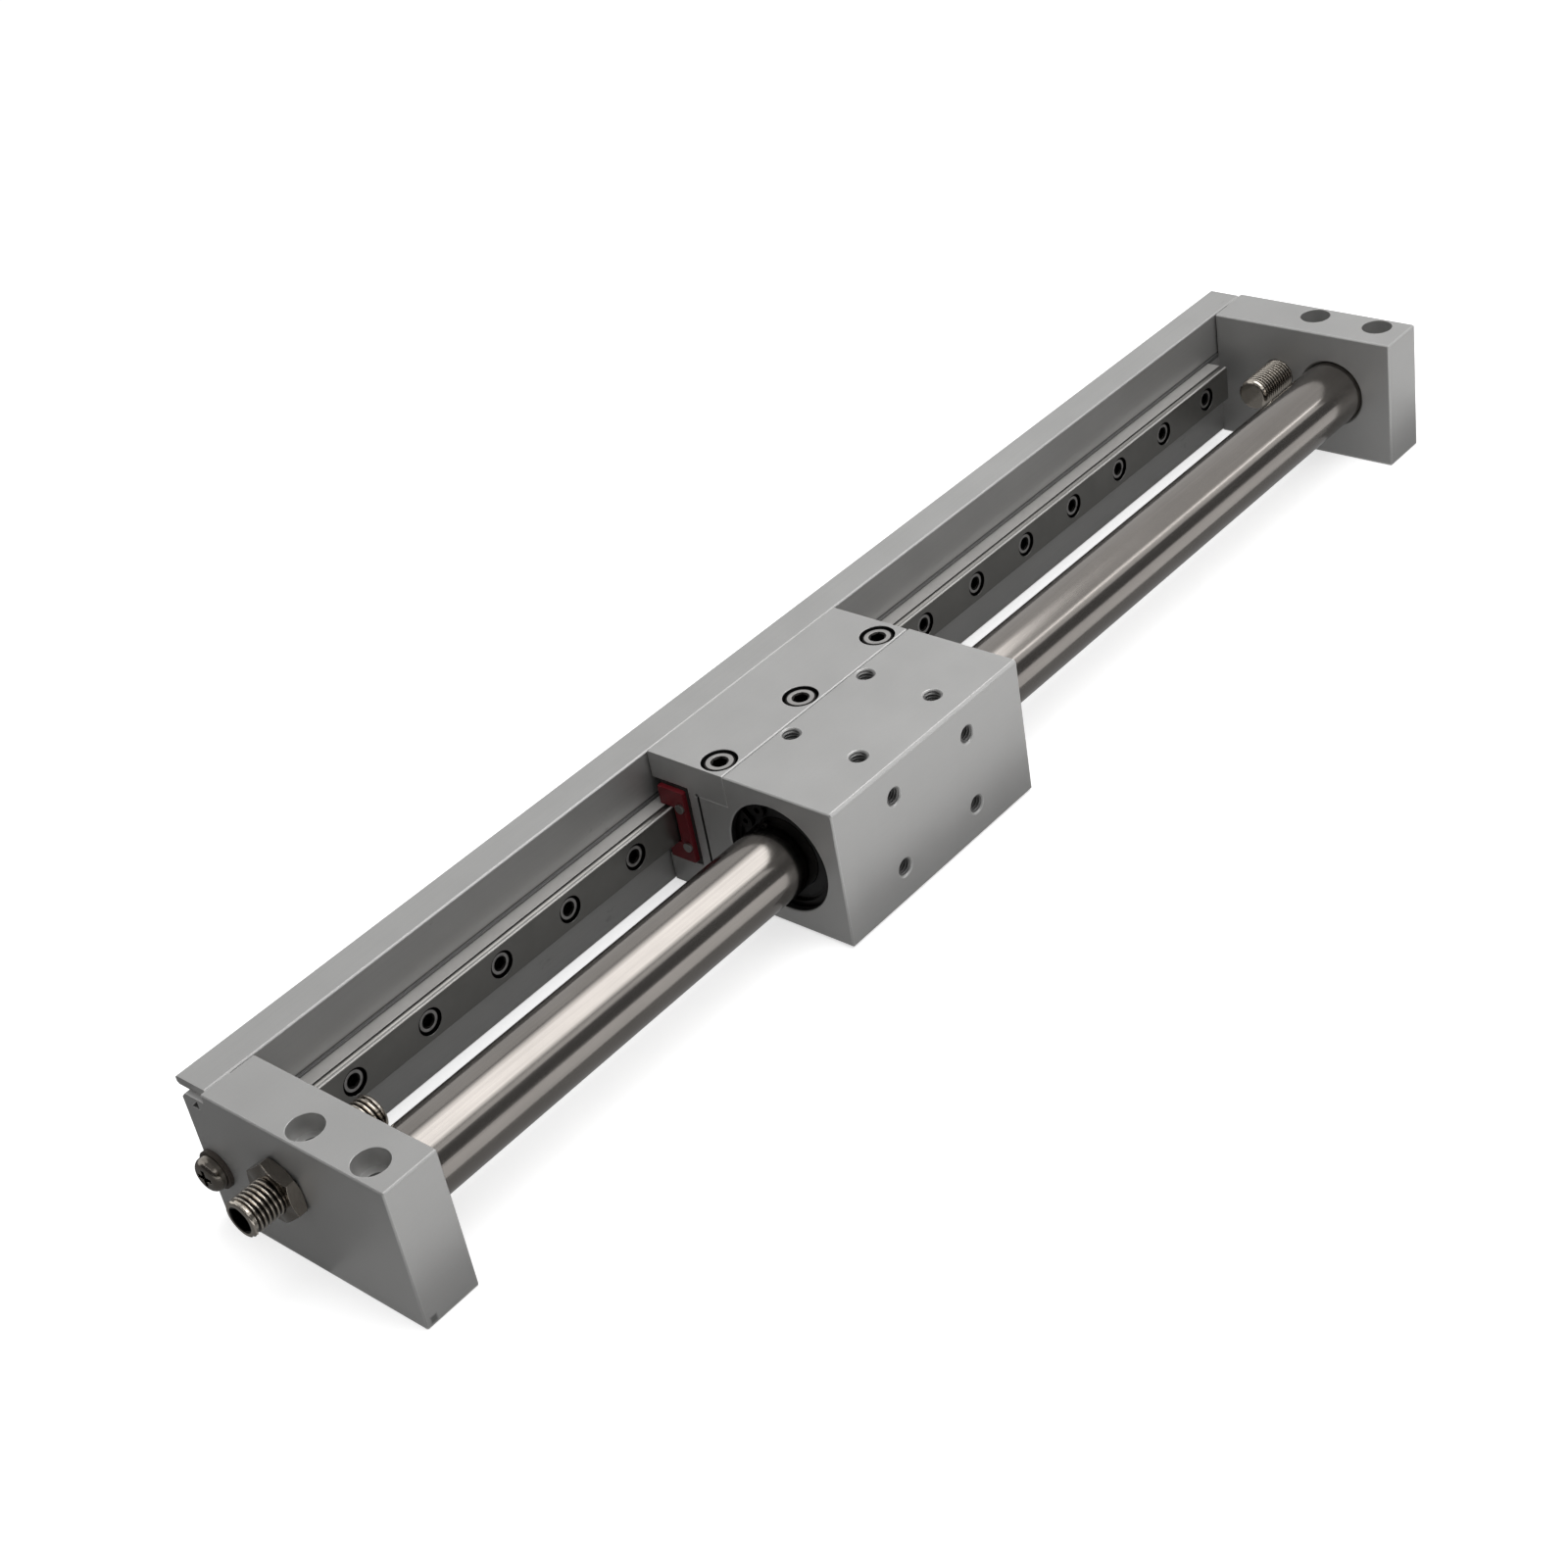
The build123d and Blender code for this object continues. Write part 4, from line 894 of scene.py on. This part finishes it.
def lockNutPiece(side, sign, s):
    low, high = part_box(f"{side}_lock_nut")
    centre = boxMiddle(f"{side}_lock_nut")
    thickness = high.x - low.x
    inner = Vector((low.x if sign > 0 else high.x, centre.y, centre.z))
    axis = stroke * sign
    flat = s["width"] / 2
    turned = flat * s["turned"]
    bm = bmesh.new()
    corners = bmesh.ops.create_circle(
        bm, segments=6, radius=acrossCorners(s["width"]), matrix=endFrame(axis, inner),
    )["verts"]
    lies = corners[0].co - inner
    turnBack = math.radians(s["turn"]) - math.atan2(lies.z, lies.y)
    bmesh.ops.rotate(bm, verts=corners, cent=inner, matrix=Matrix.Rotation(turnBack, 3, "X"))
    bmesh.ops.subdivide_edges(bm, edges=bm.edges[:], cuts=s["cuts"])
    rings = [bm.edges[:]]
    for before, after in zip(s["layers"], s["layers"][1:]):
        grown = bmesh.ops.extrude_edge_only(bm, edges=rings[-1])["geom"]
        bmesh.ops.translate(bm, verts=vertsOf(grown), vec=axis * thickness * (after - before))
        rings.append(edgesOf(grown))
    # both faces are turned to a cone, so the corners run out in arcs
    for vert in bm.verts:
        away = vert.co - inner
        along = away.dot(axis)
        out = away - axis * along
        drop = max(0.0, out.length - turned) * s["corner"]
        vert.co = inner + axis * min(max(along, drop), thickness - drop) + out
    for ring, height in ((rings[0], 0.0), (rings[-1], thickness)):
        circle = bmesh.ops.create_circle(
            bm, segments=s["boreSteps"], radius=s["bore"] / 2, matrix=endFrame(axis, inner + axis * height),
        )["verts"]
        bmesh.ops.bridge_loops(bm, edges=ring + list({e for v in circle for e in v.link_edges}))
    bmesh.ops.bridge_loops(bm, edges=[e for e in bm.edges if e.is_boundary])
    finished(bm, f"{side}_hexagon_nut", "dullNickel", "frame", [f"{side}_lock_nut"], 28)


railScrews = {
    "node": "guide_rail_screws",
    "body": "frame",
    "out": Vector((0, -1, 0)),      # the way the heads face
    "spacing": 20.0 * mm,
    "head": 5.5 * mm,
    "height": 3.0 * mm,
    "round": 0.45 * mm,
    "thread": 3.0 * mm,
    "socket": 2.5 * mm,
    "socketDepth": 1.6 * mm,
    "mouth": 0.22 * mm,
    "steps": 36,
    "arcSteps": 4,
}
bracketScrews = {
    "node": "bracket_screws",
    "body": "slider",
    "out": Vector((0, 0, 1)),
    "spacing": 26.5 * mm,
    "head": 7.0 * mm,
    "height": 4.0 * mm,
    "round": 0.55 * mm,
    "thread": 4.0 * mm,
    "socket": 3.0 * mm,
    "socketDepth": 2.2 * mm,
    "mouth": 0.25 * mm,
    "steps": 36,
    "arcSteps": 4,
}


def capScrewPiece(s):
    # a row of socket head screws with rounded rims; all but the top face is painted black, as the shade in
    # the gap round the head, the dark reflection on the rim and the shade in the socket
    low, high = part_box(s["node"])
    out = s["out"]
    radius = s["head"] / 2
    length = abs((high - low).dot(out))
    top = boxMiddle(s["node"]) + out * length / 2
    count = round((high.x - low.x - s["head"]) / s["spacing"]) + 1
    hexRadius = acrossCorners(s["socket"])
    # the outline runs from the end of the thread up to the rim of the socket
    outline = [(-length, 0), (-length, s["thread"] / 2), (-s["height"], s["thread"] / 2)]
    outline.append((-s["height"], radius))
    outline += reversed(roundedEnd(0, -1, radius, s["round"], s["arcSteps"]))
    outline.append((0, hexRadius + s["mouth"]))
    bm = bmesh.new()
    for n in range(count):
        head = top + stroke * s["spacing"] * (n - (count - 1) / 2)
        before = set(bm.faces)
        lathe(bm, outline, head, s["steps"], out)
        for face in set(bm.faces) - before:
            onTop = abs((face.calc_center_median() - head).dot(out)) < 1e-6
            face.material_index = 0 if onTop else 1
        hexSocket(bm, head, out, hexRadius, s["mouth"], s["socketDepth"])
    name = s["node"].replace("_screws", "_socket_screws")
    finished(bm, name, "screw", s["body"], [s["node"]], 40, "shadeBlack")


tappedHoles = {
    "wall": 2.03 * mm,              # a touch inside the metal round the hole
    "crest": 1.66 * mm,
    "pitch": 0.7 * mm,
    "depth": 5.2 * mm,
    "mouth": 0.35 * mm,             # left free at the hole's edge
    "steps": 28,
}


def tappedHolePiece(s):
    turns = (s["depth"] - s["mouth"]) / s["pitch"]
    bm = bmesh.new()
    for mount in frame["record"]["mounts"]:
        if mount["name"] not in ("slider_top_holes", "slider_front_holes"):
            continue
        axis = Vector(mount["axis"])
        centre = Vector(mount["pos_m"])
        across = mount["dims"]["spacing_x_mm"] * mm / 2
        up = mount["dims"]["spacing_y_mm"] * mm / 2
        upward = Vector((0, 1, 0)) if abs(axis.z) > 0.5 else Vector((0, 0, 1))
        for sideX in (-1, 1):
            for sideY in (-1, 1):
                hole = centre + stroke * across * sideX + upward * up * sideY
                bottom = hole - axis * s["depth"]
                helix(bm, bottom, axis, s["wall"], s["crest"], s["pitch"], turns, s["steps"])
    finished(bm, "slider_threads", "thread", "slider")


groundTubePiece(tube)
for side, sign in (("left", -1), ("right", 1)):
    stopBoltPiece(side, sign, stopBolt)
    lockNutPiece(side, sign, lockNut)
capScrewPiece(railScrews)
capScrewPiece(bracketScrews)
tappedHolePiece(tappedHoles)
print("tube, stop bolts, nuts and threads are made")
